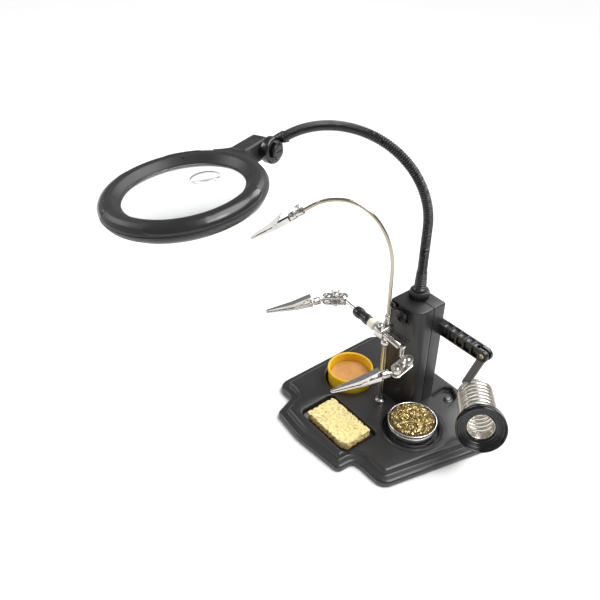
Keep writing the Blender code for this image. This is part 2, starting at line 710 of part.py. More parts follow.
def wire_point(angle):
    """Point on the wire: a tall quarter ellipse up to its top, then a round arc down from it."""
    turn = math.radians(angle)
    rise = WIRE_RISE if angle < 90.0 else WIRE_BEND
    return in_plane(Vector(), WIRE_BEND * (1.0 - math.cos(turn)), WIRE_TOP - rise * (1.0 - math.sin(turn)))


def make_wire(chrome):
    slip = math.degrees(1.2 / WIRE_BEND)
    foot = Vector((0, 0, POST_TOP + GAP))
    rising = [wire_point((90.0 - slip) * step / 10) for step in range(11)]
    swept("wire_lower", [foot, Vector((0, 0, 150)), *rising], WIRE_RADIUS, chrome, foot, 2)
    way = bend_way(WIRE_END_ANGLE)
    falling = [wire_point(90.0 + slip + (WIRE_END_ANGLE - 90.0 - slip) * step / 4) for step in range(5)]
    end = falling[-1] + way * 12.0
    swept("wire_upper", [*falling, end], WIRE_RADIUS, chrome, wire_point(90.0), 2)
    make_clip("wire", end + way * GAP, way, chrome, False)


def make_holder(dark, grey, chrome, gloss):
    length = ARM_END.x - ARM_AT.x
    arm = place("ribbed_arm", block((length, ARM_WIDTH, 2 * ARM_HALF), (length / 2, 0, 0)), dark, ARM_AT)
    knuckles = [
        place(
            f"knuckle_{x:.0f}", lathe(rod(ARM_HALF, -ARM_WIDTH / 2, ARM_WIDTH / 2), 16), dark,
            ARM_AT + Vector((x, 0, 0)), turned_to((0, 1, 0)), helper=True,
        )
        for x in (0.0, length)
    ]
    for knuckle in knuckles:
        boolean(arm, knuckle, "UNION")
    for number in range(4):
        pocket = place(
            f"arm_pocket_{number}", block((9.6, 6.0, 2 * ARM_HALF - 3.2), (13.6 + 11.4 * number, -4.5, 0)),
            dark, ARM_AT, helper=True,
        )
        boolean(arm, pocket)
    slot = place("link_slot", block((22, 3.4, 40), (length + 1.0, 0, 0)), dark, ARM_AT, helper=True)
    boolean(arm, slot)
    down = LINK_END - ARM_END
    outline = rounded(rectangle(4.3, (down.length + 8.4) / 2, 4.2), steps=5)
    link = stack([(outline, -1.3), (outline, 1.3)])
    bmesh.ops.translate(link, verts=link.verts, vec=(0, -down.length / 2, 0))
    lean = math.atan2(down.x, -down.z)
    place(
        "folding_link", link, grey, ARM_END,
        Matrix.Rotation(-lean, 4, "Y") @ Matrix.Rotation(math.radians(90), 4, "X"),
    )
    side = turned_to(HOLDER_WAY)
    coil = place(
        "holder_coil", lathe(tube(COIL_RADIUS - 1.9, COIL_RADIUS, COIL_START, COIL_START + COIL_LENGTH)),
        chrome, HOLDER_BACK, side,
    )
    for tilt in (-HOLDER_TILT, 0.0, HOLDER_TILT):
        room = block((9.4, 3.4, down.length + 9.4), (0, 0, down.length / 2))
        turn = Matrix.Rotation(math.radians(tilt) - lean, 4, "Y")
        boolean(coil, place(f"link_room_{tilt:.0f}", room, grey, LINK_END, turn, helper=True))
    front = COIL_START + COIL_LENGTH + GAP
    place(
        "holder_funnel",
        lathe(
            [
                (FUNNEL_HOLE, front + 1.6), (19.6, front), (23.4, front), (FUNNEL_RADIUS, front + 2.0),
                (FUNNEL_RADIUS, front + 9.0), (23.6, front + 10.0), (22.6, front + 10.0),
                (21.6, front + 7.4), (19.2, front + 6.6), (18.6, front + 4.8),
                (FUNNEL_HOLE + 0.8, front + 4.0), (FUNNEL_HOLE, front + 3.4),
            ],
            32,
        ),
        gloss, HOLDER_BACK, side,
    )


def main():
    for old in list(bpy.data.objects):
        bpy.data.objects.remove(old)
    root = bpy.data.objects.new("stand_origin", None)
    root.location = ORIGIN * MM
    bpy.context.scene.collection.objects.link(root)
    dark = material("charcoal_plastic", (0.035, 0.035, 0.037), 0.42)
    gloss = material("gloss_black_plastic", (0.012, 0.012, 0.013), 0.2)
    rubber = material("black_rubber", (0.02, 0.02, 0.02), 0.85)
    chrome = material("nickel_plate", (0.8, 0.79, 0.76), 0.2, 1.0)
    steel = material("ballast_steel", (0.45, 0.45, 0.46), 0.5, 1.0)
    grey = material("grey_paint", (0.12, 0.12, 0.13), 0.4, 0.3)
    glass = material("lens_glass", (0.86, 0.9, 0.88), 0.03, 0.0, 0.35)
    yellow = material("yellow_plastic", (0.9, 0.55, 0.04), 0.35)
    flux = material("flux", (0.72, 0.45, 0.2), 0.45)
    foam = material("sponge_foam", (0.85, 0.77, 0.4), 0.9)
    brass = material("brass_wire", (0.75, 0.6, 0.25), 0.35, 1.0)
    board = material("board_white", (0.75, 0.77, 0.74), 0.5)
    cell = material("cell_label", (0.12, 0.16, 0.3), 0.35)
    make_base(dark, steel, rubber, chrome)
    make_wells_contents(yellow, flux, foam, chrome, brass)
    make_column(dark, cell, gloss, gloss)
    make_neck(gloss, dark)
    make_lamp(dark, glass, board, chrome)
    make_post(chrome, dark)
    left_ball = BAR_AT + BAR_WAY * LEFT_BALL
    make_clamp("left", left_ball, LEFT_CLAMP_WAY, LEFT_CLIP_WAY, chrome)
    make_clamp("right", RIGHT_BALL, RIGHT_CLAMP_WAY, RIGHT_CLIP_WAY, chrome)
    make_wire(chrome)
    make_holder(dark, grey, chrome, gloss)


main()
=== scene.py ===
import json
import math
import random

import bmesh
import bpy
from mathutils import Matrix, Vector, noise


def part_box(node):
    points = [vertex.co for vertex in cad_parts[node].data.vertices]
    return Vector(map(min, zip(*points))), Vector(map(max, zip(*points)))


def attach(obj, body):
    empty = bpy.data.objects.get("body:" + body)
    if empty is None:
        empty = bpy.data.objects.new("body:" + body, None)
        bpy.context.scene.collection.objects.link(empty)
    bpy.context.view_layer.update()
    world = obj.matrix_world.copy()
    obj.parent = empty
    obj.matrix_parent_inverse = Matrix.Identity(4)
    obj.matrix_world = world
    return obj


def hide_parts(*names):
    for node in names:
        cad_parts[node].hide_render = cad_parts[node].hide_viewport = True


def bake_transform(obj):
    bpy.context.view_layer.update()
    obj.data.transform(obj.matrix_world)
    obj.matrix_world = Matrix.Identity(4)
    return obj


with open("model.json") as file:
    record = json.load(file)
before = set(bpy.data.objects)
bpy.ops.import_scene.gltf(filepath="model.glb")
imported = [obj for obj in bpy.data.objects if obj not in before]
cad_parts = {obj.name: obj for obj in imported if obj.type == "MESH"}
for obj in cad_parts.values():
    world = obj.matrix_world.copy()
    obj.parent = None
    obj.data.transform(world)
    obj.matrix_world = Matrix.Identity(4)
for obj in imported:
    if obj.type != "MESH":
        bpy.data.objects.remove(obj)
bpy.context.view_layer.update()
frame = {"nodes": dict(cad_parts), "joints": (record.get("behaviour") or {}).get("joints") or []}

MM = 0.001
UP = Vector((0.0, 0.0, 1.0))
JOINTS = {joint["name"]: joint for joint in frame["joints"]}


def centre(node):
    low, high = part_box(node)
    return (low + high) / 2


def joint_at(name):
    return Vector(JOINTS[name]["pos_m"])


# The layout's zero is the post's foot on the table. Lengths below are in millimetres.
POST = Vector((centre("post").x, centre("post").y, 0.0))
NECK_FOOT = Vector((4.6, 38.0, 0.0))
NECK_WAY = Vector((-0.813, -0.582, 0.0)).normalized()
NECK_BEND_Z = 222.5
NECK_BEND = 90.0
NECK_END_ANGLE = 125.0
HOSE_START = 165.0
HOSE_PITCH = 2.35
HOSE_RADIUS = 5.04
SLEEVE_TOP = 172.0
LENS_AT = Vector((-104.6, -158.0, 275.6))
LENS_NORMAL = Vector((-0.07, -0.09, 0.993)).normalized()
TILT_AXIS = Vector((-0.25, 0.968, 0.0)).cross(LENS_NORMAL).normalized()
HEAD_WAY = LENS_NORMAL.cross(TILT_AXIS)
YOKE_AT = LENS_AT + HEAD_WAY * 102.0 + TILT_AXIS * 15.0
BAR_Z = 115.5
BAR_AT = Vector((0.0, -7.8, BAR_Z))
BAR_WAY = Vector((0.9965, -0.084, 0.0))
LEFT_BALL = -66.0
LEFT_CLAMP_WAY = Vector((-0.62, -0.78, 0.0))
LEFT_CLIP_WAY = Vector((-0.42, -0.90, -0.09))
RIGHT_BALL = Vector((43.0, -11.8, 106.5))
RIGHT_CLAMP_WAY = Vector((0.10, -0.99, -0.10))
RIGHT_CLIP_WAY = Vector((-0.33, -0.94, -0.10))
CLAMP_SPAN = 17.0
CLAMP_HALF_GAP = 3.2
BALL = 4.5
CLIP_BACK = 33.0
CLIP_FRONT = 35.0
WIRE_TOP = 254.0
WIRE_RISE = 70.0
WIRE_BEND = 50.0
WIRE_END_ANGLE = 126.0
ARM_AT = Vector((26.5, 50.8, 111.3))
ARM_END = Vector((85.6, 50.8, 111.3))
ARM_HALF = 6.4
ARM_WIDTH = 11.0
LINK_END = Vector((70.5, 50.8, 63.0))
HOLDER_BACK = Vector((77.8, 59.0, 50.2))
HOLDER_WAY = Vector((0.655, -0.702, 0.279))
COIL_START = 5.0
COIL_LENGTH = 64.0
COIL_RADIUS = 18.7
FUNNEL_HOLE = 13.4
WOOL_CURLS = 760
WOOL_RADIUS = 23.6
SPONGE_PORES = 760
DECK_Z = 14.0
FLOOR_Z = 6.0
BASE_CORNERS = [
    (-95.5, 84.0, 18.0), (-95.5, -72.0, 14.0), (-68.5, -72.0, 4.0), (-59.5, -97.5, 8.0),
    (-18.0, -101.5, 60.0), (41.5, -96.0, 7.0), (43.0, -75.0, 7.0), (84.0, -74.5, 14.0), (124.0, 84.0, 18.0),
]
LEDGE_SHARE = [1.0] * 8 + [0.25]
BASE_LEVELS = [
    (0.35, 1.0), (0.0, 1.5), (0.0, 5.4), (0.35, 6.5), (1.2, 7.5), (2.6, 8.15), (4.0, 8.3),
    (7.6, 8.5), (8.6, 8.8), (9.2, 9.6), (9.6, 11.6), (10.3, 12.9), (11.4, 13.7), (13.2, DECK_Z),
]
POCKET = [(28.0, 50.5, 3.0), (54.5, 50.5, 4.0), (48.5, 71.0, 5.0), (35.0, 78.5, 4.0), (27.5, 72.0, 3.0)]
COLUMN_CORNERS = [(-10.6, 12.0, 4.0), (29.3, 12.0, 14.0), (29.3, 52.4, 2.4), (-10.6, 52.4, 2.4)]
COLUMN_TOP = 141.8
SEAM_Y = 35.1
FRAME_INNER = 54.4
FRAME_OUTER = 74.2


# ---------------------------------------------------------------- shader maths

class Value:
    """A shader socket that Python's arithmetic turns into Math nodes."""

    def __init__(self, maker, node, output=0):
        self.maker, self.node, self.socket = maker, node, node.outputs[output]

    def out(self, name):
        return Value(self.maker, self.node, name)

    def maths(self, operation, *terms):
        return self.maker.add("Math", {"operation": operation}, *terms)

    def __add__(self, other):
        return self.maths("ADD", self, other)

    def __radd__(self, other):
        return self.maths("ADD", other, self)

    def __sub__(self, other):
        return self.maths("SUBTRACT", self, other)

    def __rsub__(self, other):
        return self.maths("SUBTRACT", other, self)

    def __mul__(self, other):
        return self.maths("MULTIPLY", self, other)

    def __rmul__(self, other):
        return self.maths("MULTIPLY", other, self)

    def __pow__(self, other):
        return self.maths("POWER", self, other)

    def between(self, low, high):
        """0 below low, 1 above high, smooth between."""
        return self.maker.add("MapRange", {"interpolation_type": "SMOOTHSTEP"}, self, low, high)


class Finish:
    """A material, with its Principled shader's fixed values set and its varying ones linked."""

    def __init__(self, name, **fixed):
        self.material = bpy.data.materials.new(name)
        self.material.use_nodes = True
        self.tree = self.material.node_tree
        self.shader = self.tree.nodes["Principled BSDF"]
        for socket, value in fixed.items():
            self.shader.inputs[socket.replace("_", " ")].default_value = value
        self.place = self.add("TexCoord").out("Object")

    def add(self, kind, settings=None, *values, **named):
        node = self.tree.nodes.new("ShaderNode" + kind)
        for name, value in (settings or {}).items():
            setattr(node, name, value)
        slots = [(node.inputs[i], value) for i, value in enumerate(values)]
        slots += [(node.inputs[name.replace("_", " ")], value) for name, value in named.items()]
        for socket, value in slots:
            if isinstance(value, Value):
                self.tree.links.new(value.socket, socket)
            elif value is not None:
                socket.default_value = value
        return Value(self, node)

    def noise(self, scale, detail=3.0, roughness=0.55, place=None):
        return self.add(
            "TexNoise", None, Vector=place or self.place, Scale=scale, Detail=detail, Roughness=roughness
        )

    def mix(self, share, first, second):
        """Colour between first and second, by share."""
        made = self.add("Mix", {"data_type": "RGBA"})
        for index, value in ((0, share), (6, first), (7, second)):
            socket = made.node.inputs[index]
            if isinstance(value, Value):
                self.tree.links.new(value.socket, socket)
            else:
                socket.default_value = value
        return Value(self, made.node, 2)

    def link(self, **varying):
        for socket, value in varying.items():
            self.tree.links.new(value.socket, self.shader.inputs[socket.replace("_", " ")])
        return self

    def bump(self, height, strength, distance):
        bumped = self.add("Bump", None, Strength=strength, Distance=distance, Height=height)
        self.tree.links.new(bumped.socket, self.shader.inputs["Normal"])
        return self


def rgb(red, green, blue):
    return (red, green, blue, 1.0)


def moulded_plastic(name, colour, low, high, grain, grain_scale=2600.0, coat=0.0):
    """Moulded plastic: fine spark-eroded grain, faint cloudy sheen and a few rubbed places."""
    made = Finish(name, Coat_Weight=coat, Coat_Roughness=0.12, Specular_IOR_Level=0.5)
    cloud = made.noise(28.0, 4.0)
    rubbed = made.noise(190.0, 5.0, 0.7).between(0.56, 0.74)
    light = tuple(min(c * 1.5 + 0.006, 1.0) for c in colour)
    made.link(
        Base_Color=made.mix(cloud.between(0.3, 0.75) * 0.6 + rubbed * 0.3, rgb(*colour), rgb(*light)),
        Roughness=cloud * (high - low) + low - rubbed * 0.06,
    )
    return made.bump(made.noise(grain_scale, 2.0) + rubbed * 0.4, grain, 0.0002)


def plated_metal(name, colour, low, high, scratch=0.25, metallic=1.0):
    """Plated metal: bright, with hairline scratches, faint smears and darker freckles."""
    made = Finish(name, Metallic=metallic)
    stretched = made.add(
        "Mapping", None, Vector=made.place, Scale=(40.0, 900.0, 900.0), Rotation=(0.4, 0.7, 0.3)
    )
    hair = made.noise(2.4, 4.0, 0.7, stretched)
    smear = made.noise(75.0, 3.0)
    freckle = made.noise(620.0, 2.0).between(0.66, 0.78)
    dark = tuple(c * 0.62 for c in colour)
    made.link(
        Base_Color=made.mix(freckle * 0.6 + smear.between(0.5, 0.8) * 0.25, rgb(*colour), rgb(*dark)),
        Roughness=smear * (high - low) + low + hair.between(0.55, 0.7) * 0.08,
    )
    return made.bump(hair, scratch, 0.00008)


def lens_glass():
    """Clear moulded acrylic with a hint of dust and fine polishing marks."""
    made = Finish("lens_clear", IOR=1.45, Transmission_Weight=0.93, Alpha=1.0)
    dust = made.noise(900.0, 2.0).between(0.7, 0.8)
    made.link(
        Base_Color=made.mix(made.noise(18.0), rgb(0.93, 0.955, 0.945), rgb(0.97, 0.98, 0.975)),
        Roughness=dust * 0.14 + made.noise(60.0) * 0.03 + 0.01,
    )
    return made.bump(made.noise(30.0), 0.05, 0.0002)


def tub_plastic():
    """Yellow polypropylene, a little translucent, deeper where it is thick and scuffed at the lip."""
    made = Finish(
        "tub_yellow", Subsurface_Weight=0.12, Subsurface_Radius=(0.004, 0.002, 0.0005),
        Specular_IOR_Level=0.45,
    )
    cloud = made.noise(60.0, 4.0)
    scuff = made.noise(420.0, 4.0, 0.7).between(0.6, 0.75)
    deep = made.mix(cloud.between(0.35, 0.7), rgb(0.92, 0.53, 0.008), rgb(0.98, 0.66, 0.02))
    made.link(
        Base_Color=made.mix(scuff * 0.35, deep, rgb(1.0, 0.78, 0.16)),
        Roughness=cloud * 0.12 + 0.26 + scuff * 0.1,
    )
    return made.bump(made.noise(900.0) * 0.5 + scuff, 0.1, 0.0002)


def flux_wax():
    """Tan rosin: mottled, with a waxy skin, dimples and small dark specks."""
    made = Finish("flux_wax", Subsurface_Weight=0.2, Subsurface_Radius=(0.006, 0.003, 0.001))
    blotch = made.noise(45.0, 5.0, 0.6)
    speck = made.noise(700.0, 2.0).between(0.68, 0.76)
    base = made.mix(blotch.between(0.35, 0.68), rgb(0.56, 0.27, 0.075), rgb(0.68, 0.37, 0.13))
    made.link(Base_Color=made.mix(speck * 0.5, base, rgb(0.42, 0.2, 0.06)), Roughness=blotch * 0.25 + 0.3)
    return made.bump(made.noise(130.0, 4.0) + made.noise(800.0) * 0.25, 0.35, 0.0006)


def sponge_foam():
    """Cellulose sponge: pale cream with pits of many sizes; painted shade makes the pits darker and yellower
    and the part low in its well darker and browner.
    """
    made = Finish("sponge_foam", Specular_IOR_Level=0.2, Roughness=0.92)
    wide = made.add("TexVoronoi", {"feature": "F1"}, Vector=made.place, Scale=330.0)
    fine = made.add("TexVoronoi", {"feature": "F1"}, Vector=made.place, Scale=900.0)
    pit = 1 - wide.between(0.12, 0.42)
    pore = 1 - fine.between(0.1, 0.4)
    cloud = made.noise(50.0, 4.0)
    # Painted shade: the colour darkens towards the bottom, where the sponge sits down in its well.
    height = made.add("SeparateXYZ", None, made.place).out("Z").between(0.006, 0.0155)
    cream = made.mix(cloud, rgb(0.9, 0.75, 0.33), rgb(0.94, 0.83, 0.44))
    cream = made.mix(height, rgb(0.72, 0.47, 0.12), cream)
    # Painted shade: the pits and pores darken the colour as well as sinking the bump.
    made.link(Base_Color=made.mix(pit * 0.55 + pore * 0.3, cream, rgb(0.6, 0.42, 0.1)))
    return made.bump(1 - (pit + pore * 0.6), 0.9, 0.0008)


def brass_curls():
    """Bright brass shavings, some tarnished brown."""
    made = Finish("brass_curls", Metallic=1.0)
    tarnish = made.noise(210.0, 3.0).between(0.42, 0.7)
    made.link(
        Base_Color=made.mix(tarnish * 0.6, rgb(1.0, 0.84, 0.42), rgb(0.62, 0.42, 0.16)),
        Roughness=tarnish * 0.2 + 0.22,
    )
    return made.bump(made.noise(1500.0), 0.2, 0.0001)


def wool_shadow():
    """Painted shade: the dark, shaded depth of the brass wool under its curls, with faint strands."""
    made = Finish("wool_shade_paint", Metallic=0.6, Roughness=0.7)
    strand = made.noise(700.0, 4.0, 0.75)
    made.link(Base_Color=made.mix(strand.between(0.45, 0.62), rgb(0.06, 0.04, 0.015), rgb(0.36, 0.25, 0.09)))
    return made.bump(strand, 0.9, 0.001)


def board_mask():
    made = Finish("board_white", Roughness=0.5)
    made.link(
        Base_Color=made.mix(
            made.noise(300.0).between(0.5, 0.6), rgb(0.8, 0.82, 0.79), rgb(0.68, 0.72, 0.66)
        )
    )
    return made.bump(made.noise(900.0), 0.2, 0.0001)


def floor_card():
    made = Finish("floor_card", Roughness=0.6, Specular_IOR_Level=0.2)
    made.link(Base_Color=made.mix(made.noise(2.0), rgb(0.92, 0.92, 0.92), rgb(0.94, 0.94, 0.94)))
    return made


FINISH = {
    "charcoal": moulded_plastic("charcoal_plastic", (0.017, 0.0162, 0.0162), 0.26, 0.4, 0.08, coat=0.15),
    "column": moulded_plastic("column_plastic", (0.012, 0.0118, 0.012), 0.32, 0.46, 0.08, coat=0.1),
    "lamp": moulded_plastic("lamp_plastic", (0.017, 0.0155, 0.0155), 0.36, 0.5, 0.1),
    "gloss": moulded_plastic("gloss_black", (0.005, 0.005, 0.0052), 0.14, 0.26, 0.04, coat=0.25),
    "pad": moulded_plastic("pad_black", (0.012, 0.0115, 0.0115), 0.2, 0.32, 0.06, coat=0.3),
    "grip": moulded_plastic("grip_black", (0.01, 0.01, 0.01), 0.2, 0.34, 0.06, coat=0.2),
    "rubber": moulded_plastic("foot_rubber", (0.02, 0.02, 0.02), 0.75, 0.9, 0.3),
    "cell": moulded_plastic("cell_sleeve", (0.1, 0.14, 0.28), 0.3, 0.45, 0.05),
    "funnel": moulded_plastic("funnel_black", (0.003, 0.003, 0.003), 0.1, 0.2, 0.03),
    "cream": moulded_plastic("cream_nylon", (0.74, 0.7, 0.58), 0.35, 0.5, 0.1),
    "grey": moulded_plastic("grey_paint", (0.15, 0.15, 0.155), 0.32, 0.46, 0.12, 1500.0),
    "nickel": plated_metal("nickel_plate", (0.6, 0.58, 0.55), 0.1, 0.24),
    "wire": plated_metal("wire_nickel", (0.45, 0.395, 0.32), 0.12, 0.24),
    "spring": plated_metal("spring_nickel", (0.66, 0.62, 0.55), 0.16, 0.3),
    "tin": plated_metal("tinplate", (0.86, 0.85, 0.84), 0.12, 0.26),
    "steel": plated_metal("zinc_steel", (0.24, 0.24, 0.25), 0.3, 0.5),
    "glass": lens_glass(), "yellow": tub_plastic(), "flux": flux_wax(), "foam": sponge_foam(),
    # the depth finish is painted shade for the wool's inner mass
    "brass": brass_curls(), "depth": wool_shadow(), "board": board_mask(), "floor": floor_card(),
}


# ---------------------------------------------------------------- shaping tools

def frame_of(z_way, x_way=None):
    """Rotation with local Z along z_way and local X as near x_way as it can be."""
    z = Vector(z_way).normalized()
    if x_way is None:
        return z.to_track_quat("Z", "Y").to_matrix().to_4x4()
    y = z.cross(Vector(x_way)).normalized()
    return Matrix((y.cross(z), y, z)).transposed().to_4x4()


def clip_frame(way):
    """Rotation with local X along way and local Z as near up as it can be."""
    x = Vector(way).normalized()
    y = UP.cross(x).normalized()
    return Matrix((x, y, x.cross(y))).transposed().to_4x4()


def soften(piece, width, segments=3, angle=30.0):
    bevel = piece.modifiers.new("edges", "BEVEL")
    bevel.width = width * MM
    bevel.segments = segments
    bevel.limit_method = "ANGLE"
    bevel.angle_limit = math.radians(angle)


def smooth(mesh, angle=40.0):
    mesh.shade_smooth()
    mesh.set_sharp_from_angle(angle=math.radians(angle))


def piece(name, bm, finish, body, replaced=(), at=POST, turn=None, edge=0.0, clean=True):
    """Finishes a mesh made in millimetres: turned, set at a point given in metres, and riding on body."""
    if clean:
        bmesh.ops.remove_doubles(bm, verts=bm.verts, dist=0.0005)
        bmesh.ops.recalc_face_normals(bm, faces=bm.faces)
    bm.transform(Matrix.Translation(at) @ (turn or Matrix.Identity(4)) @ Matrix.Scale(MM, 4))
    mesh = bpy.data.meshes.new(name)
    bm.to_mesh(mesh)
    bm.free()
    smooth(mesh)
    made = bpy.data.objects.new(name, mesh)
    bpy.context.scene.collection.objects.link(made)
    made.data.materials.append(FINISH[finish].material)
    if edge:
        soften(made, edge)
    if body:
        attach(made, body)
    if replaced:
        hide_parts(*replaced)
    return made


def cut(target, bm, at=POST, turn=None, operation="DIFFERENCE"):
    """Cuts or joins a shape made in millimetres into the target's mesh, for good."""
    helper = piece("helper", bm, "charcoal", None, at=at, turn=turn)
    step = target.modifiers.new("cut", "BOOLEAN")
    step.object = helper
    step.operation = operation
    step.solver = "EXACT"
    waiting = [m for m in target.modifiers if m.type == "BEVEL"]
    for other in waiting:
        other.show_viewport = False
    graph = bpy.context.evaluated_depsgraph_get()
    mesh = bpy.data.meshes.new_from_object(target.evaluated_get(graph))
    target.modifiers.remove(step)
    old = target.data
    target.data = mesh
    bpy.data.meshes.remove(old)
    bpy.data.objects.remove(helper)
    for other in waiting:
        other.show_viewport = True
    smooth(target.data)


def lathe(profile, steps=48):
    """Solid turned about Z from (radius, height) points, closed into a ring if they leave the axis."""
    bm = bmesh.new()
    verts = [bm.verts.new((radius, 0.0, height)) for radius, height in profile]
    edges = [bm.edges.new(pair) for pair in zip(verts, verts[1:])]
    if profile[0][0] > 0.0:
        edges.append(bm.edges.new((verts[-1], verts[0])))
    bmesh.ops.spin(
        bm, geom=verts + edges, cent=(0, 0, 0), axis=(0, 0, 1), angle=math.tau, steps=steps, use_merge=True
    )
    return bm


def curved(points, reach=1.0, steps=4):
    """The same open outline with each inner corner rounded, reaching up to reach along its two sides."""
    made = [points[0]]
    for before, corner, after in zip(points, points[1:], points[2:]):
        a, b, c = Vector(before), Vector(corner), Vector(after)
        short = min(reach, (a - b).length * 0.45, (c - b).length * 0.45)
        start, end = b + (a - b).normalized() * short, b + (c - b).normalized() * short
        for step in range(steps + 1):
            t = step / steps
            made.append(tuple((start * (1 - t) + b * t) * (1 - t) + (b * (1 - t) + end * t) * t))
    return [*made, points[-1]]


def rod(radius, low, high):
    return [(0.0, low), (radius, low), (radius, high), (0.0, high)]


def ball(radius, centre_z=0.0, start=0.0, end=180.0, count=12):
    angles = [math.radians(start + (end - start) * i / count) for i in range(count + 1)]
    return [(max(radius * math.sin(a), 0.0), centre_z - radius * math.cos(a)) for a in angles]


def rounded(corners, inset=0.0, shares=None, steps=10):
    """Outline through corners (x, y, radius), moved in by inset, with an arc at each corner."""
    count = len(corners)
    shares = shares or [1.0] * count
    points = [Vector(corner[:2]) for corner in corners]
    area = sum(a.x * b.y - b.x * a.y for a, b in zip(points, points[1:] + points[:1]))
    lines = []
    for i in range(count):
        along = (points[(i + 1) % count] - points[i]).normalized()
        inward = Vector((-along.y, along.x)) * (1 if area > 0 else -1)
        lines.append((points[i] + inward * inset * shares[i], along))
    outline = []
    for i in range(count):
        (a, back), (b, ahead) = lines[i - 1], lines[i]
        turn = back.cross(ahead)
        corner = a + back * ((b - a).cross(ahead) / turn)
        convex = (turn > 0) == (area > 0)
        radius = max(corners[i][2] + (-inset if convex else inset), 1.2)
        angle = back.angle(ahead)
        middle = corner + (ahead - back).normalized() * (radius / math.cos(angle / 2))
        first = corner - back * radius * math.tan(angle / 2) - middle
        for step in range(steps + 1):
            outline.append(middle + Matrix.Rotation(math.copysign(angle, turn) * step / steps, 2) @ first)
    return outline


def loft(levels):
    """Solid through loops of points in space, all of one length, bridged in order and capped."""
    bm = bmesh.new()
    loops = [[bm.verts.new(point) for point in level] for level in levels]
    edges = [[bm.edges.new((loop[i - 1], loop[i])) for i in range(len(loop))] for loop in loops]
    for low, high in zip(edges, edges[1:]):
        bmesh.ops.bridge_loops(bm, edges=low + high)
    for loop in (loops[0], loops[-1]):
        bm.faces.new(loop)
    return bm


def stack(levels):
    """Loft of flat outlines, each given with its height."""
    return loft([[(x, y, z) for x, y in outline] for outline, z in levels])


def rectangle(half_x, half_y, radius):
    return [
        (-half_x, -half_y, radius), (half_x, -half_y, radius), (half_x, half_y, radius),
        (-half_x, half_y, radius),
    ]


def bevelled(bm, offset, segments):
    bmesh.ops.bevel(bm, geom=bm.edges[:], offset=offset, segments=segments, profile=0.5,
                    affect="EDGES", material=-1)


def block(size, at=(0, 0, 0), bevel=0.0, segments=3):
    bm = bmesh.new()
    bmesh.ops.create_cube(bm, size=1.0, matrix=Matrix.Translation(at) @ Matrix.Diagonal((*size, 1.0)))
    if bevel:
        bevelled(bm, bevel, segments)
    return bm


def join(*parts):
    """One bmesh that holds all the parts' shapes."""
    whole = bmesh.new()
    for part in parts:
        mesh = bpy.data.meshes.new("part")
        part.to_mesh(mesh)
        part.free()
        whole.from_mesh(mesh)
        bpy.data.meshes.remove(mesh)
    return whole


def moved(bm, shift=(0, 0, 0), turn=None):
    bm.transform(Matrix.Translation(shift) @ (turn or Matrix.Identity(4)))
    return bm


def toothed(radius, depth, count, low, high):
    """Disc with count flutes round its rim."""
    bm = bmesh.new()
    bmesh.ops.create_circle(bm, cap_ends=True, radius=radius, segments=count * 4)
    bm.verts.ensure_lookup_table()
    for index, vert in enumerate(bm.verts):
        vert.co *= 1.0 - (depth / radius if index % 4 in (0, 1) else 0.0)
        vert.co.z = low
    top = bmesh.ops.extrude_face_region(bm, geom=bm.faces[:])
    bmesh.ops.translate(
        bm, vec=(0, 0, high - low), verts=[v for v in top["geom"] if isinstance(v, bmesh.types.BMVert)]
    )
    return bm


def swept(name, points, radius, finish, body, replaced=(), widths=None, sides=3, at=POST):
    """Round bar through points in millimetres, made a mesh. widths scales the radius at each point."""
    curve = bpy.data.curves.new(name, "CURVE")
    curve.dimensions = "3D"
    curve.bevel_depth = radius * MM
    curve.bevel_resolution = sides
    curve.use_fill_caps = True
    spline = curve.splines.new("POLY")
    spline.points.add(len(points) - 1)
    for index, point in enumerate(points):
        spline.points[index].co = (*(Vector(point) * MM + at), 1.0)
        spline.points[index].radius = widths[index] if widths else 1.0
    spline.use_smooth = True
    return settle(name, curve, finish, body, replaced)


def settle(name, curve, finish, body, replaced=()):
    """Turns a curve into a finished mesh piece."""
    made = bpy.data.objects.new(name, curve)
    bpy.context.scene.collection.objects.link(made)
    mesh = bpy.data.meshes.new_from_object(made.evaluated_get(bpy.context.evaluated_depsgraph_get()))
    bpy.data.objects.remove(made)
    bm = bmesh.new()
    bm.from_mesh(mesh)
    bpy.data.meshes.remove(mesh)
    return piece(name, bm, finish, body, replaced, at=Vector(), turn=Matrix.Scale(1 / MM, 4))


def wing_screw(stem_low, stem_radius, collar_z, spread=5.0, rise=6.5):
    """Screw along Z: a stem, a round collar and two flat wings that lean outwards."""
    stem = lathe(
        curved(
            [
                (0, stem_low), (stem_radius, stem_low), (stem_radius, collar_z), (3.2, collar_z),
                (3.2, collar_z + 2.4), (2.0, collar_z + 3.4), (0, collar_z + 3.4),
            ],
            0.4, 3,
        ),
        24,
    )
    wings = []
    for side in (-1, 1):
        outline = rounded(
            [
                (0.6, 0, 0.5), (2.6, 0, 0.5), (spread, rise - 1.5, 1.4), (spread - 1.6, rise, 1.4),
                (1.4, rise * 0.5, 0.8),
            ],
            steps=4,
        )
        wing = loft([[(x * side, y, z + collar_z + 2.0) for x, z in outline] for y in (-0.65, 0.65)])
        wings.append(wing)
    return join(stem, *wings)


def cross_head(radius, height, slot=0.9):
    """Domed screw head whose face is cut with a cross, as a bmesh pair (head, cutter)."""
    head = lathe(
        curved([(0, 0), (radius, 0), (radius, height * 0.35), (radius * 0.6, height), (0, height)], 0.6, 4),
        32,
    )
    return head, cross_cutter(radius * 0.575, slot / 2, height * 0.45, height * 1.45)


def fitted_screw(name, size, finish, body, at, turn):
    """Cross-head screw of this (radius, height, slot), set at a point and facing along turn's Z."""
    head, bars = cross_head(*size)
    cut(piece(name, head, finish, body, at=at, turn=turn), bars, at, turn)


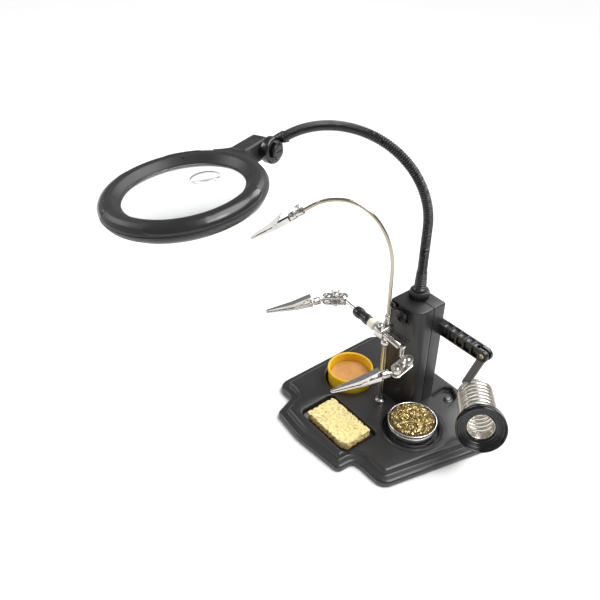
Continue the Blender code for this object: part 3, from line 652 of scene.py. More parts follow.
def cross_cutter(reach, half, low, high):
    """Upright prism with a cross for its outline."""
    quarter = [(reach, -half), (reach, half), (half, half)]
    outline = quarter + [(-y, x) for x, y in quarter]
    outline += [(-x, -y) for x, y in outline]
    bm = bmesh.new()
    bottom = [bm.verts.new((x, y, low)) for x, y in outline]
    above = [bm.verts.new((x, y, high)) for x, y in outline]
    bm.faces.new(bottom[::-1])
    bm.faces.new(above)
    for index in range(len(outline)):
        after = (index + 1) % len(outline)
        bm.faces.new((bottom[index], bottom[after], above[after], above[index]))
    return bm


# ---------------------------------------------------------------- base and its wells

def base_outline(inset):
    return rounded(BASE_CORNERS, inset, LEDGE_SHARE)


def make_base():
    shell = piece("base_shell_moulded", stack([(base_outline(inset), z) for inset, z in BASE_LEVELS]),
                  "charcoal", "stand", ["base_shell"])
    cut(shell, stack([(base_outline(2.8), -1.0), (base_outline(3.0), 3.9)]))
    tub, tin, sponge = at_deck("flux_tub"), at_deck("wool_tin"), at_deck("sponge")
    round_well = [
        (0, FLOOR_Z), (25.8, FLOOR_Z), (27.2, 6.9), (27.6, 8.0), (27.6, 12.6), (28.1, 13.5), (29.3, 14.2),
        (29.3, 20), (0, 20),
    ]
    cut(shell, lathe(round_well, 72), tub)
    tin_well = [
        (0, FLOOR_Z), (27.4, FLOOR_Z), (29.2, 6.9), (29.7, 8.2), (29.8, 12.4), (30.4, 13.5), (31.8, 14.2),
        (31.8, 20), (0, 20),
    ]
    cut(shell, lathe(tin_well, 72), tin - Vector((0.6, 0.4, 0)) * MM)
    sponge_well = ((36.2, 21.2, 5.2, FLOOR_Z), (37.4, 22.4, 6.4, 6.9), (37.6, 22.6, 6.6, 12.6),
                   (38.1, 23.1, 7.1, 13.5), (39.4, 24.4, 8.4, 14.2), (39.4, 24.4, 8.4, 20.0))
    cut(shell, stack([(rounded(rectangle(*size)), z) for *size, z in sponge_well]), sponge)
    pocket = ((1.8, 8.0), (0.7, 9.0), (0.3, 12.8), (-1.2, 14.2), (-1.2, 20.0))
    cut(shell, stack([(rounded(POCKET, inset), z) for inset, z in pocket]))
    cut(shell, lathe([(0, 6.5), (3.5, 6.5), (3.5, 13.4), (4.2, 14.2), (4.2, 20), (0, 20)]))
    for radius, place in ((33.4, tub), (35.4, tin)):
        cut(
            shell,
            lathe(
                [(radius - 0.45, 13.6), (radius + 0.45, 13.6), (radius + 0.45, 15), (radius - 0.45, 15)], 96
            ),
            place,
        )
    soften(shell, 0.35, 2, 40)
    plate = piece(
        "ballast_plate_pressed",
        stack([(base_outline(3.7), 1.2), (base_outline(3.5), 1.5), (base_outline(3.5), 3.4)]), "steel",
        "stand", ["ballast_plate"],
    )
    for inset, flare, top in ((9.0, 0.8, 1.75), (13.0, 0.0, 1.3)):
        cut(plate, stack([(base_outline(inset), 0.5), (base_outline(inset + flare), top)]))
    for number in range(1, 5):
        place = at_deck(f"rubber_foot_{number}")
        piece(
            f"rubber_foot_{number}_ringed",
            lathe(
                curved(
                    [
                        (0, 0.25), (2.4, 0.25), (2.8, 0), (3.6, 0), (4.0, 0.3), (4.6, 0), (5.9, 0),
                        (6.5, 0.9), (0, 0.9),
                    ],
                    0.2, 2,
                ),
                48,
            ),
            "rubber", "stand", [f"rubber_foot_{number}"], place,
        )
    for number, (x, y) in enumerate([(-60, 10), (10, -80), (60, 10), (-30, 70), (50, 76)]):
        fitted_screw(f"plate_screw_{number}", (3.0, 1.0), "steel", "stand",
                     POST + Vector((x, y, 1.45)) * MM, frame_of(-UP))


def at_deck(node):
    middle = centre(node)
    return Vector((middle.x, middle.y, 0.0))


def make_pocket_screw():
    low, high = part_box("pocket_screw")
    spot = Vector(((low.x + high.x) / 2, (low.y + high.y) / 2, low.z))
    head = lathe(
        curved([(0, 0), (4.6, 0), (4.6, 0.5), (3.9, 0.55), (3.9, 1.6), (2.4, 3.0), (0, 3.0)], 0.4, 3), 40
    )
    screw = piece("pocket_screw_pan", head, "steel", "stand", ["pocket_screw"], spot)
    cut(screw, cross_cutter(2.2, 0.5, 1.7, 4.0), spot)


def make_tub():
    place = Vector((*at_deck("flux_tub").xy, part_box("flux_tub")[0].z))
    top = (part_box("flux_tub")[1].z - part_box("flux_tub")[0].z) / MM
    profile = curved(
        [
            (0, 0), (23.4, 0), (24.8, 1.2), (25.0, top - 6.2), (25.7, top - 5.6), (25.95, top - 0.9),
            (25.4, top), (24.2, top), (23.3, top - 1.0), (22.8, 3.0), (21.8, 2.0), (0, 2.0),
        ],
        0.9, 4,
    )
    tub = piece("flux_tub_moulded", lathe(profile, 96), "yellow", "tub", ["flux_tub"], place)
    cut(tub, moved(block((0.55, 0.9, top - 11.0), bevel=0.2), (25.1, 0, top / 2 - 1.0)), place)
    cake = bmesh.new()
    bmesh.ops.create_circle(cake, cap_ends=True, radius=22.0, segments=72)
    outer = [f for f in cake.faces]
    for inset in [1.2] + [2.0] * 9:
        bmesh.ops.inset_region(cake, faces=outer, thickness=inset, depth=0)
    for vert in cake.verts:
        spread = vert.co.length / 22.0
        swell = noise.noise(vert.co * 0.11) * 1.1 + noise.noise(vert.co * 0.4 + Vector((7, 3, 1))) * 0.25
        vert.co.z = 12.4 + swell * (1 - spread ** 6) + 0.6 * spread ** 8 - 0.7
    rim = bmesh.ops.extrude_face_region(cake, geom=cake.faces[:])
    low = [v for v in rim["geom"] if isinstance(v, bmesh.types.BMVert)]
    bmesh.ops.translate(cake, verts=low, vec=(0, 0, -3.0))
    piece("flux_cake_poured", cake, "flux", "tub", ["flux_cake"], place)


def make_tin():
    low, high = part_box("wool_tin")
    place = Vector(((low.x + high.x) / 2, (low.y + high.y) / 2, low.z))
    top = (high.z - low.z) / MM
    profile = [
        (0, 0.5), (19, 0.5), (20, 0), (24.2, 0), (25.3, 0.7), (25.45, 2.0), (25.1, 2.6), (25.45, 3.2),
        (25.4, top - 4.4), (25.05, top - 3.8), (25.4, top - 3.2), (25.4, top - 1.6),
    ]
    bead = [math.radians(angle) for angle in range(60, 301, 30)]
    profile += [(25.2 + 0.8 * math.sin(a), top - 0.8 - 0.8 * math.cos(a)) for a in bead]
    profile += [(24.6, top - 1.4), (24.5, 1.4), (0, 1.0)]
    piece("wool_tin_rolled", lathe(profile, 96), "tin", "tin", ["wool_tin"], place)
    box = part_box("brass_wool")
    crown = (box[1].z - box[0].z) / MM
    base = Vector((place.x, place.y, box[0].z))
    # The wool's inner mass is dark with painted shade, standing for the shade deep among the strands.
    core = lathe(
        [
            (0, 0.3), (23.6, 0.3), (23.8, crown - 9), (20.5, crown - 5.2), (12.5, crown - 2.6),
            (0, crown - 1.6),
        ],
        48,
    )
    bmesh.ops.subdivide_edges(core, edges=core.edges[:], cuts=2, use_grid_fill=True)
    for vert in core.verts:
        if vert.co.z > 4:
            vert.co += Vector((0, 0, 1)) * noise.noise(vert.co * 0.5) * 0.9
    piece("brass_wool_shaded_core", core, "depth", "tin", ["brass_wool"], base)
    random.seed(11)
    curve = bpy.data.curves.new("curls", "CURVE")
    curve.dimensions = "3D"
    curve.bevel_depth = 0.21 * MM
    curve.bevel_resolution = 0
    for _ in range(WOOL_CURLS):
        ring, spin = 22.6 * math.sqrt(random.random()), random.uniform(0, math.tau)
        height = dome(ring, crown) - random.uniform(0.1, 2.2)
        heart = Vector((ring * math.cos(spin), ring * math.sin(spin), height))
        radius, pitch = random.uniform(0.7, 1.7), random.uniform(0.4, 1.4)
        spun = random.uniform(0, math.tau)
        axis = Vector((random.uniform(-1, 1), random.uniform(-1, 1), random.uniform(-0.4, 0.4))).normalized()
        turn = Matrix.Rotation(spun, 3, axis)
        steps = 15
        spline = curve.splines.new("POLY")
        spline.points.add(steps)
        for step in range(steps + 1):
            angle = step / steps * random.uniform(8.9, 9.1)
            local = Vector(
                (radius * math.cos(angle), radius * math.sin(angle), pitch * (step / steps - 0.5) * 2.0)
            )
            point = heart + turn @ local
            reach = math.hypot(point.x, point.y)
            if reach > WOOL_RADIUS:
                point.x, point.y = point.x * WOOL_RADIUS / reach, point.y * WOOL_RADIUS / reach
            point.z = min(max(point.z, 1.0), dome(min(reach, WOOL_RADIUS), crown) - 0.35)
            spline.points[step].co = (*(point * MM + base), 1.0)
            spline.points[step].radius = 1.0
    settle("brass_wool_curls", curve, "brass", "tin")


def dome(ring, crown):
    """Height of the wool's crown, ring millimetres from its middle."""
    return crown - 0.1 - 1.0 * (ring / 13.0) ** 2 if ring < 13 else crown - 1.1 - (ring - 13.0) * 0.42


def make_sponge():
    low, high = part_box("sponge")
    middle = Vector(((low.x + high.x) / 2, (low.y + high.y) / 2, low.z))
    size = (high - low) / MM
    half_x, half_y, thick = size.x / 2 - 0.35, size.y / 2 - 0.35, size.z - 0.5
    outline = rounded(
        [
            (-half_x, -half_y, 1.6), (half_x - 7, -half_y, 1.8), (half_x, -half_y + 5, 1.8),
            (half_x, half_y, 1.6), (-half_x, half_y, 1.6),
        ],
        steps=3,
    )
    foam = piece(
        "sponge_block", stack([(outline, 0.25), (outline, thick)]), "foam", "sponge", ["sponge"], middle
    )
    remesh = foam.modifiers.new("grain", "REMESH")
    remesh.mode = "VOXEL"
    remesh.voxel_size = 0.55 * MM
    graph = bpy.context.evaluated_depsgraph_get()
    mesh = bpy.data.meshes.new_from_object(foam.evaluated_get(graph))
    foam.modifiers.clear()
    foam.data = mesh
    pores = {}
    random.seed(5)
    for _ in range(SPONGE_PORES):
        x, y = random.uniform(-half_x, half_x), random.uniform(-half_y, half_y)
        z = random.choice([0.25, thick]) if random.random() < 0.6 else random.uniform(0, thick)
        spot = Vector((x, y, z))
        side = random.random()
        if spot.z not in (0.25, thick):
            if side < 0.5:
                spot.x = math.copysign(half_x, spot.x)
            else:
                spot.y = math.copysign(half_y, spot.y)
        pores.setdefault((round(spot.x / 4), round(spot.y / 4)), []).append(
            (spot, random.choice([0.7, 0.9, 1.3, 1.9]))
        )
    normals = [v.normal.copy() for v in mesh.vertices]
    for vert, normal in zip(mesh.vertices, normals):
        local = (vert.co - middle) / MM
        depth = 0.12 * noise.noise(local * 1.6)
        cell = (round(local.x / 4), round(local.y / 4))
        for i in (-1, 0, 1):
            for j in (-1, 0, 1):
                for spot, radius in pores.get((cell[0] + i, cell[1] + j), ()):
                    gap = (local - spot).length / radius
                    if gap < 1.0:
                        depth = max(depth, 0.75 * radius * (1 - gap * gap) ** 0.7)
        vert.co -= normal * min(depth, 1.5) * MM
    foam.data.shade_smooth()


# ---------------------------------------------------------------- column, switch and jack

def make_column():
    bottom = DECK_Z + 0.15
    rings = ((0.5, bottom), (0.0, bottom + 0.6), (0.0, COLUMN_TOP - 2.0), (0.3, COLUMN_TOP - 0.9),
             (1.0, COLUMN_TOP - 0.25), (2.0, COLUMN_TOP))
    levels = [(rounded(COLUMN_CORNERS, inset), z) for inset, z in rings]
    rear = piece("column_rear_moulded", stack(levels), "column", "stand", ["column_rear_shell"])
    cut(rear, block((80, 40, 200), (5, SEAM_Y - 20 + 0.45, 80)))
    front = piece("column_front_moulded", stack(levels), "column", "stand", ["column_front_shell"])
    cut(front, block((80, 40, 200), (5, SEAM_Y + 20 - 0.45, 80)))
    jack, rocker = centre("power_jack"), centre("rocker_switch")
    foot = joint_at("neck_foot_bend")
    hole = lathe([(0, 0), (6.2, 0), (6.2, 30), (0, 30)])
    for half in (rear, front):
        cut(half, hole.copy(), Vector((foot.x, foot.y, (COLUMN_TOP - 8) * MM)))
    hole.free()
    # The recessed switch plate, with a shallow step round it and a lip under its lower end.
    cut(front, block((34.5, 2.4, 40.0), (6.2, 12.0, 121.6), 1.0))
    cut(front, block((31.0, 3.6, 36.0), (6.2, 12.0, 122.6), 1.0))
    cut(front, block((0.7, 1.2, 84.0), (22.5, 12.2, 58.0), 0.2))
    cut(front, lathe(rod(5.2, -14, 4)), Vector((jack.x, POST.y + 12.0 * MM, jack.z)), frame_of((0, 1, 0)))
    cut(front, block((15.0, 14.0, 13.8), bevel=0.8), rocker)
    for z in (34.0, 96.0):
        for x in (-2.0, 20.5):
            cut(rear, lathe(rod(2.8, -5, 5)), POST + Vector((x, 52.4, z)) * MM, frame_of((0, 1, 0)))
            fitted_screw(f"column_screw_{x:.0f}_{z:.0f}".replace("-", "m"), (2.4, 1.6), "steel", "stand",
                         POST + Vector((x, 47.6, z)) * MM, frame_of((0, 1, 0)))
    cut(rear, block((24.0, 1.2, 30.0), (9.2, 52.4, 66.0), 0.4))
    for x in range(7):
        cut(rear, block((1.4, 5.0, 16.0), (0.2 + 3.0 * x, 52.4, 122.0), 0.5))
    for half in (rear, front):
        soften(half, 0.45, 2, 38)
    spacer = piece(
        "column_seam_core",
        stack(
            [(rounded(COLUMN_CORNERS, 1.1), bottom + 0.8), (rounded(COLUMN_CORNERS, 1.1), COLUMN_TOP - 1.1)]
        ),
        "gloss", "stand",
    )
    cut(spacer, block((80, 40, 200), (5, SEAM_Y - 20.6, 80)))
    cut(spacer, block((80, 40, 200), (5, SEAM_Y + 20.6, 80)))


def make_jack_and_switch():
    jack = Vector((centre("power_jack").x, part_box("power_jack")[0].y, centre("power_jack").z))
    barrel = lathe(
        curved(
            [
                (1.9, -5.0), (3.1, -5.0), (3.1, -1.2), (4.4, -1.2), (4.4, -0.5), (3.2, -0.1), (2.4, -0.1),
                (1.9, -0.8),
            ],
            0.3, 3,
        ),
        48,
    )
    pin = lathe(curved([(0, -5.0), (0.75, -5.0), (0.75, -1.4), (0.3, -0.9), (0, -0.9)], 0.3, 3), 20)
    piece("power_jack_barrel", barrel, "gloss", "stand", ["power_jack"], jack, frame_of((0, -1, 0)))
    piece("power_jack_pin", pin, "nickel", "stand", at=jack, turn=frame_of((0, -1, 0)))
    rocker = centre("rocker_switch")
    width, depth, height = (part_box("rocker_switch")[1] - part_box("rocker_switch")[0]) / MM
    paddle = block((width - 0.4, depth, height - 0.4), bevel=0.7)
    switch = piece("rocker_paddle", paddle, "gloss", "rocker", ["rocker_switch"], rocker)
    cut(
        switch, lathe(rod(14.0, -20, 20), 96), rocker + Vector((0, -depth / 2 - 13.2, 0)) * MM,
        frame_of((1, 0, 0)),
    )
    soften(switch, 0.3, 2, 35)
    cut(
        switch, lathe([(1.5, -1), (2.1, -1), (2.1, 1), (1.5, 1)], 32),
        rocker + Vector((0, -depth / 2 + 0.6, -3.6)) * MM, frame_of((0, -1, 0)),
    )
    rim = join(
        block((width + 1.7, 0.8, 0.9), (0, 0, height / 2 + 0.65)),
        block((width + 1.7, 0.8, 0.9), (0, 0, -height / 2 - 0.65)),
        block((0.9, 0.8, height + 2.0), (width / 2 + 0.65, 0, 0)),
        block((0.9, 0.8, height + 2.0), (-width / 2 - 0.65, 0, 0)),
    )
    bevelled(rim, 0.2, 2)
    piece("rocker_bezel", rim, "gloss", "stand", at=Vector((rocker.x, POST.y + 13.4 * MM, rocker.z)))


# ---------------------------------------------------------------- gooseneck

def neck_point(length):
    """Point of the gooseneck's middle line, length millimetres of hose above the table."""
    if length <= NECK_BEND_Z:
        return NECK_FOOT + UP * length
    angle = (length - NECK_BEND_Z) / NECK_BEND
    return NECK_FOOT + NECK_WAY * NECK_BEND * (1 - math.cos(angle)) + UP * (
        NECK_BEND_Z + NECK_BEND * math.sin(angle)
    )


def neck_length(angle):
    return NECK_BEND_Z + NECK_BEND * math.radians(angle)


def ribbed_hose(name, start, end, node, lower, bend_from, bend_to):
    """Length of interlocked steel hose, one rib each HOSE_PITCH, along the gooseneck's line and left fixed,
    riding on no body.
    """
    samples = 6
    count = round((end - start) / HOSE_PITCH * samples)
    lengths = [start + (end - start) * i / count for i in range(count + 1)]
    waves = [math.pi * (length - HOSE_START) / HOSE_PITCH for length in lengths]
    widths = [0.8 + 0.2 * abs(math.cos(wave)) ** 0.55 for wave in waves]
    hose = swept(
        name, [neck_point(length) for length in lengths], HOSE_RADIUS, "gloss", lower, [node], widths, 8
    )
    hose.parent = None
    POST + bend_from * MM
    POST + bend_to * MM
    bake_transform(hose)


def make_neck():
    first, second = (HOSE_START + HOSE_PITCH * round((length - HOSE_START) / HOSE_PITCH)
                     for length in (198.0, neck_length(45)))
    last = neck_length(NECK_END_ANGLE)
    ribbed_hose(
        "neck_hose_lower", HOSE_START, first, "neck_lower_tube", "stand", neck_point(171),
        neck_point(177),
    )
    ribbed_hose(
        "neck_hose_middle", first, second, "neck_middle_tube", "neck_lower", neck_point(214),
        neck_point(231),
    )
    ribbed_hose("neck_hose_upper", second, last, "neck_upper_tube", "neck_middle",
                neck_point(neck_length(84)), neck_point(neck_length(96)))
    foot = POST + NECK_FOOT * MM
    collar = toothed(10.3, 0.8, 30, COLUMN_TOP + 0.2, COLUMN_TOP + 7.4)
    bevelled(collar, 0.22, 1)
    cap = lathe(
        curved(
            [
                (5.8, COLUMN_TOP + 7.0), (9.6, COLUMN_TOP + 7.0), (9.3, COLUMN_TOP + 8.8),
                (5.8, COLUMN_TOP + 8.8),
            ],
            0.5, 3,
        ),
        64,
    )
    piece("neck_collar_knurled", join(collar, cap), "grip", "stand", ["neck_collar"], foot)
    relief = [
        (0.0, COLUMN_TOP + 8.0), (7.3, COLUMN_TOP + 8.0), (7.3, COLUMN_TOP + 11.0), (6.2, COLUMN_TOP + 12.0)
    ]
    for ring in range(6):
        z = COLUMN_TOP + 12.6 + 2.75 * ring
        width = 6.3 - 0.12 * ring
        relief += [(width - 0.8, z), (width, z + 0.5), (width, z + 1.5), (width - 0.8, z + 2.0)]
    relief += [(5.6, SLEEVE_TOP - 0.6), (5.3, SLEEVE_TOP), (0, SLEEVE_TOP)]
    piece("neck_foot_relief", lathe(curved(relief, 0.3, 2), 56), "grip", "stand", ["neck_foot_sleeve"], foot)
    end, way = neck_point(last), tangent(NECK_END_ANGLE)
    cuff = [(0, -1.5), (5.4, -1.5), (6.0, -0.6)]
    for ring in range(6):
        z = 0.4 + 3.1 * ring
        cuff += [(6.15, z), (6.2, z + 1.9), (5.5, z + 2.2), (5.5, z + 2.8)]
    cuff += [(6.1, 19.6), (0, 19.8)]
    sleeve = piece(
        "neck_end_cuff", lathe(curved(cuff, 0.25, 2), 56), "grip", "neck_upper", ["neck_end_sleeve"],
        POST + end * MM, frame_of(way),
    )
    cut(sleeve, lathe(rod(12.6, -30, 40), 64), POST + YOKE_AT * MM, frame_of(TILT_AXIS))


def tangent(angle):
    turn = math.radians(angle)
    return NECK_WAY * math.sin(turn) + UP * math.cos(turn)


# ---------------------------------------------------------------- magnifier lamp

def ring_sector(radius, height, start, end, half=0.5, steps=24):
    """Square bar bent round the lens axis between two angles, in degrees from the head."""
    loops = []
    corners = ((-half, -half), (half, -half), (half, half), (-half, half))
    for step in range(steps + 1):
        angle = math.radians(start + (end - start) * step / steps)
        around = Vector((math.sin(angle), math.cos(angle), 0))
        loops.append([around * (radius + a) + UP * (height + b) for a, b in corners])
    return loft(loops)


def raised_pad(outer, start, end, sign, steps=36):
    """Thin finger pad that follows the frame's outer slope between two angles and sinks in at both ends."""
    section = [
        (-9.0, 8.2), (-8.6, 9.75), (-6.3, 9.35), (-2.4, 6.9), (-0.15, 3.4), (-0.1, 1.6), (-1.4, 1.4),
        (-6.0, 7.4),
    ]
    heart = Vector((sum(a for a, b in section), sum(b for a, b in section))) / len(section)
    loops = []
    for step in range(steps + 1):
        angle = math.radians(start + (end - start) * step / steps)
        swell = 1.0 - 0.2 * abs(2.0 * step / steps - 1.0) ** 10 - 0.07 * (step == steps // 2)
        around = Vector((math.sin(angle), math.cos(angle), 0))
        loop = [heart + (Vector(point) - heart) * swell for point in section]
        loops.append([around * (outer + a) + UP * sign * b for a, b in loop])
    return loft(loops)


def make_lamp():
    lens_at = POST + LENS_AT * MM
    level = Matrix((TILT_AXIS, HEAD_WAY, LENS_NORMAL)).transposed().to_4x4()
    inner, outer = FRAME_INNER, FRAME_OUTER + 0.5
    shape = [
        (inner, 1.6), (inner + 0.2, 2.5), (inner + 1.4, 3.2), (inner + 6.6, 8.9), (outer - 9.4, 9.5),
        (outer - 6.0, 8.8), (outer - 2.6, 6.3), (outer - 0.5, 2.7), (outer, 0.5), (outer - 0.5, 0.15),
        (outer - 2.3, 0.15), (outer - 3.1, 2.0), (outer - 4.8, 4.6), (outer - 7.6, 6.6),
        (outer - 10.4, 7.3), (inner + 7.2, 6.5), (inner + 4.6, 3.2), (inner + 3.8, 1.6),
    ]
    outline = curved(shape[:10], 0.8, 3) + shape[10:]
    upper = piece(
        "lamp_upper_moulded", lathe(outline, 144), "lamp", "lamp", ["lamp_upper_frame"], lens_at, level
    )
    lower = piece(
        "lamp_lower_moulded", lathe([(radius, -height) for radius, height in outline], 144), "lamp", "lamp",
        ["lamp_lower_frame"], lens_at, level,
    )
    grips = ((70, 160), (202, 268), (300, 330))
    for frame_half, sign in ((upper, 1), (lower, -1)):
        for start, end in grips:
            cut(frame_half, ring_sector(outer - 9.3, sign * 9.75, start - 2, end + 2, 0.55), lens_at, level)
            for angle in (start, end):
                turn = Matrix.Rotation(math.radians(-angle), 4, "Z")
                slope = Matrix.Translation((0, outer - 4.6, sign * 8.0)) @ Matrix.Rotation(
                    math.radians(-sign * 29), 4, "X"
                )
                groove = block((1.1, 12.0, 1.1), bevel=0.2)
                groove.transform(slope)
                cut(frame_half, groove, lens_at, level @ turn)
        for angle in (0, 90, 180, 270):
            pad = block((0.9, 5.0, 1.2), (0, inner + 4.4, sign * 6.9), 0.2)
            cut(frame_half, pad, lens_at, level @ Matrix.Rotation(math.radians(angle + 45), 4, "Z"))
        soften(frame_half, 0.18, 2, 35)
    for start, end in grips:
        for name, sign in (("top", 1), ("under", -1)):
            pad = raised_pad(outer, start, end, sign)
            soften(piece(f"lamp_pad_{name}_{start}", pad, "pad", "lamp", at=lens_at, turn=level), 0.2, 2, 35)
    seam = lathe([(outer - 3.2, -0.5), (outer - 0.9, -0.5), (outer - 0.9, 0.5), (outer - 3.2, 0.5)], 144)
    piece("lamp_seam_gasket", seam, "rubber", "lamp", at=lens_at, turn=level)
    for angle in (60, 135, 225, 300):
        spot = lens_at + (
            level @ Matrix.Rotation(math.radians(-angle), 4, "Z") @ Vector((0, outer - 10.4, -9.3))
        ) * MM
        cut(lower, lathe(rod(2.3, -1.0, 2.2), 32), spot, level)
        fitted_screw(f"lamp_screw_{angle}", (1.9, 1.0, 0.5), "steel", "lamp",
                     spot + LENS_NORMAL * 2.0 * MM, frame_of(-LENS_NORMAL))
    make_head(lens_at, level)
    make_lenses(lens_at, level)


def make_head(lens_at, level):
    spot = lens_at + (HEAD_WAY * 90.5 - TILT_AXIS * 1.4 + LENS_NORMAL * 0.6) * MM
    head = piece(
        "lamp_head_block", block((19.8, 34.8, 19.8), bevel=3.4, segments=5), "lamp", "lamp", at=spot,
        turn=level,
    )
    cut(head, lathe(rod(FRAME_OUTER - 3.4, -30, 30), 96), lens_at, level)
    cut(head, lathe(rod(FRAME_OUTER + 0.3, -30, -0.2), 96), lens_at, level)
    flare = [(-27.0, 66.0), (-19.0, 71.0), (-14.0, 75.0), (-11.4, 79.5), (-10.4, 85.0), (-10.2, 92.0)]
    flare += [(-x - 2.8, y) for x, y in reversed(flare)]
    crest = [(x * 0.97 - 0.04, y + 0.4) for x, y in flare]
    neck = piece("lamp_head_flare", stack([(flare, 0.6), (flare, 7.6), (crest, 8.6)]), "lamp", "lamp",
                 at=lens_at, turn=level)
    cut(neck, lathe(rod(FRAME_OUTER - 6.0, -30, 30), 96), lens_at, level)
    soften(neck, 0.6, 3, 30)
    for x in (-10.1, 10.1):
        cut(head, block((0.9, 22.0, 0.7), (x, 4.0, 0.0), 0.15), spot, level)
    cut(head, block((11.0, 14.0, 0.9), (0, 5.0, 10.0), 0.3), spot, level)
    cut(
        head, lathe(rod(3.2, -1.6, 3.0), 40), spot + (LENS_NORMAL * -8.6 + HEAD_WAY * 8.0) * MM,
        frame_of(-LENS_NORMAL),
    )
    soften(head, 0.25, 2, 35)
    fitted_screw("lamp_head_screw", (2.6, 1.2, 0.7), "steel", "lamp",
                 spot + (LENS_NORMAL * -8.2 + HEAD_WAY * 8.0) * MM, frame_of(-LENS_NORMAL))
    yoke_at = POST + YOKE_AT * MM
    side = frame_of(TILT_AXIS)
    disc = lathe(
        curved(
            [
                (2.6, -5.0), (7.6, -5.0), (8.2, -4.4), (11.6, -4.4), (12.9, -3.4), (12.9, 3.2), (11.6, 4.6),
                (9.4, 4.9), (8.8, 4.0), (4.8, 4.0), (2.6, 4.0),
            ],
            0.6, 3,
        ),
        80,
    )
    piece("lamp_yoke_disc", disc, "gloss", "neck_upper", ["lamp_yoke"], yoke_at, side)
    knob = join(
        toothed(7.9, 0.55, 26, 5.6, 8.2),
        lathe(
            curved(
                [(0, -4.8), (2.2, -4.8), (2.2, 5.4), (7.0, 5.4), (7.2, 8.4), (6.0, 9.1), (0, 9.1)], 0.5, 3
            ),
            56,
        ),
    )
    dial = piece("tilt_knob_fluted", knob, "grip", "tilt_knob", ["tilt_knob"], yoke_at, side)
    cut(dial, block((8.6, 1.1, 2.0), (0, 0, 9.2), 0.2), yoke_at, side)


def make_lenses(lens_at, level):
    hole_at = lens_at + HEAD_WAY * 27.0 * MM
    radius = 55.8
    bow = [(radius * i / 16, 1.2 + 2.0 * (1 - (i / 16) ** 2)) for i in range(17)]
    profile = [(r, -h) for r, h in bow] + [(r, h) for r, h in reversed(bow)]
    lens = piece("main_lens_ground", lathe(profile, 128), "glass", "lamp", ["main_lens"], lens_at, level)
    cut(lens, lathe(rod(13.75, -9, 9), 72), hole_at, level)
    small = [(13.6 * i / 12, 1.6 + 2.0 * (1 - (i / 12) ** 2)) for i in range(13)]
    profile = [(r, -h) for r, h in small] + [(r, h) for r, h in reversed(small)]
    piece("inset_lens_ground", lathe(profile, 72), "glass", "lamp", ["inset_lens"], hole_at, level)


# ---------------------------------------------------------------- post, cross bar and clamps

def make_post():
    piece(
        "post_turned",
        lathe(
            curved(
                [
                    (0, 7.0), (3.2, 7.0), (3.2, 14.3), (5.9, 14.3), (5.9, 16.0), (5.2, 16.9), (3.9, 17.3),
                    (3.2, 18.2), (3.2, 93.6), (4.0, 94.2), (4.5, 95.0), (4.5, 98.6), (3.9, 99.6),
                    (2.2, 100.0), (2.2, 121.0), (1.8, 121.9), (0, 121.9),
                ],
                0.35, 3,
            ),
            48,
        ),
        "nickel", "stand", ["post"],
    )
    block_at = POST + Vector((0, -4.0, BAR_Z)) * MM
    swivel = piece(
        "swivel_block_cast", block((11.8, 19.4, 10.8), bevel=1.9, segments=4), "nickel", "swivel",
        ["swivel_block"], block_at,
    )
    cut(swivel, lathe(rod(2.5, -20, 20), 40), POST + Vector((0, 0, BAR_Z)) * MM)
    cut(swivel, lathe(rod(3.6, -20, 20), 40), POST + BAR_AT * MM, frame_of(BAR_WAY))
    cut(swivel, block((20, 8.0, 0.8), (0, -13.0, BAR_Z + 2.6)))
    cut(
        swivel, lathe([(3.4, 5.0), (4.2, 5.0), (4.2, 6.0), (3.4, 6.0)], 40),
        POST + Vector((0, 0, BAR_Z)) * MM,
    )
    soften(swivel, 0.25, 2, 35)
    lock_at = POST + Vector((-1.0, -8.0, BAR_Z + 5.65)) * MM
    piece(
        "lock_screw_winged", join(wing_screw(0.0, 1.4, 0.2, 4.6, 5.4), washer_ring(3.3, 1.5, 0.05, 0.7)),
        "nickel", "lock_screw", ["lock_screw"], lock_at, Matrix.Rotation(math.radians(35), 4, "Z"),
    )
    along = frame_of(BAR_WAY)
    bar = [(0, LEFT_BALL - BALL)] + ball(BALL, LEFT_BALL, 12, 154, 14) + [
        (2.0, LEFT_BALL + 4.6), (2.0, -9.2), (2.6, -8.6), (3.2, -8.4), (3.3, -8.0), (3.3, -2.0)
    ]
    bar += [(3.0, -1.8), (3.0, 6.2), (3.3, 6.4), (3.3, 29.4), (2.9, 29.9), (0, 29.9)]
    piece("cross_bar_turned", lathe(bar, 48), "nickel", "bar", ["cross_bar"], POST + BAR_AT * MM, along)
    drop = BAR_AT + BAR_WAY * 32.75
    across = RIGHT_BALL - Vector((drop.x, drop.y, RIGHT_BALL.z))
    elbow = lathe(curved([(0, -9.0), (2.4, -9.0), (2.4, 1.9), (3.2, 2.1), (3.2, 3.2), (0, 3.4)], 0.4, 3), 40)
    piece("bar_elbow_bent", elbow, "nickel", "bar", ["bar_elbow"], POST + drop * MM)
    arm = lathe(
        ball(2.4, 0, 0, 90, 8) + [
            (2.1, 1.2), (2.1, across.length - 4.4)
        ] + ball(BALL, across.length, 28, 180, 14),
        48,
    )
    piece("bar_elbow_ball", arm, "nickel", "bar", at=POST + (RIGHT_BALL - across) * MM, turn=frame_of(across))
    knob_pieces(along)


def washer_ring(outer, inner, low, high):
    return lathe(curved([(inner, low), (outer, low), (outer, high), (inner, high)], 0.2, 3), 40)


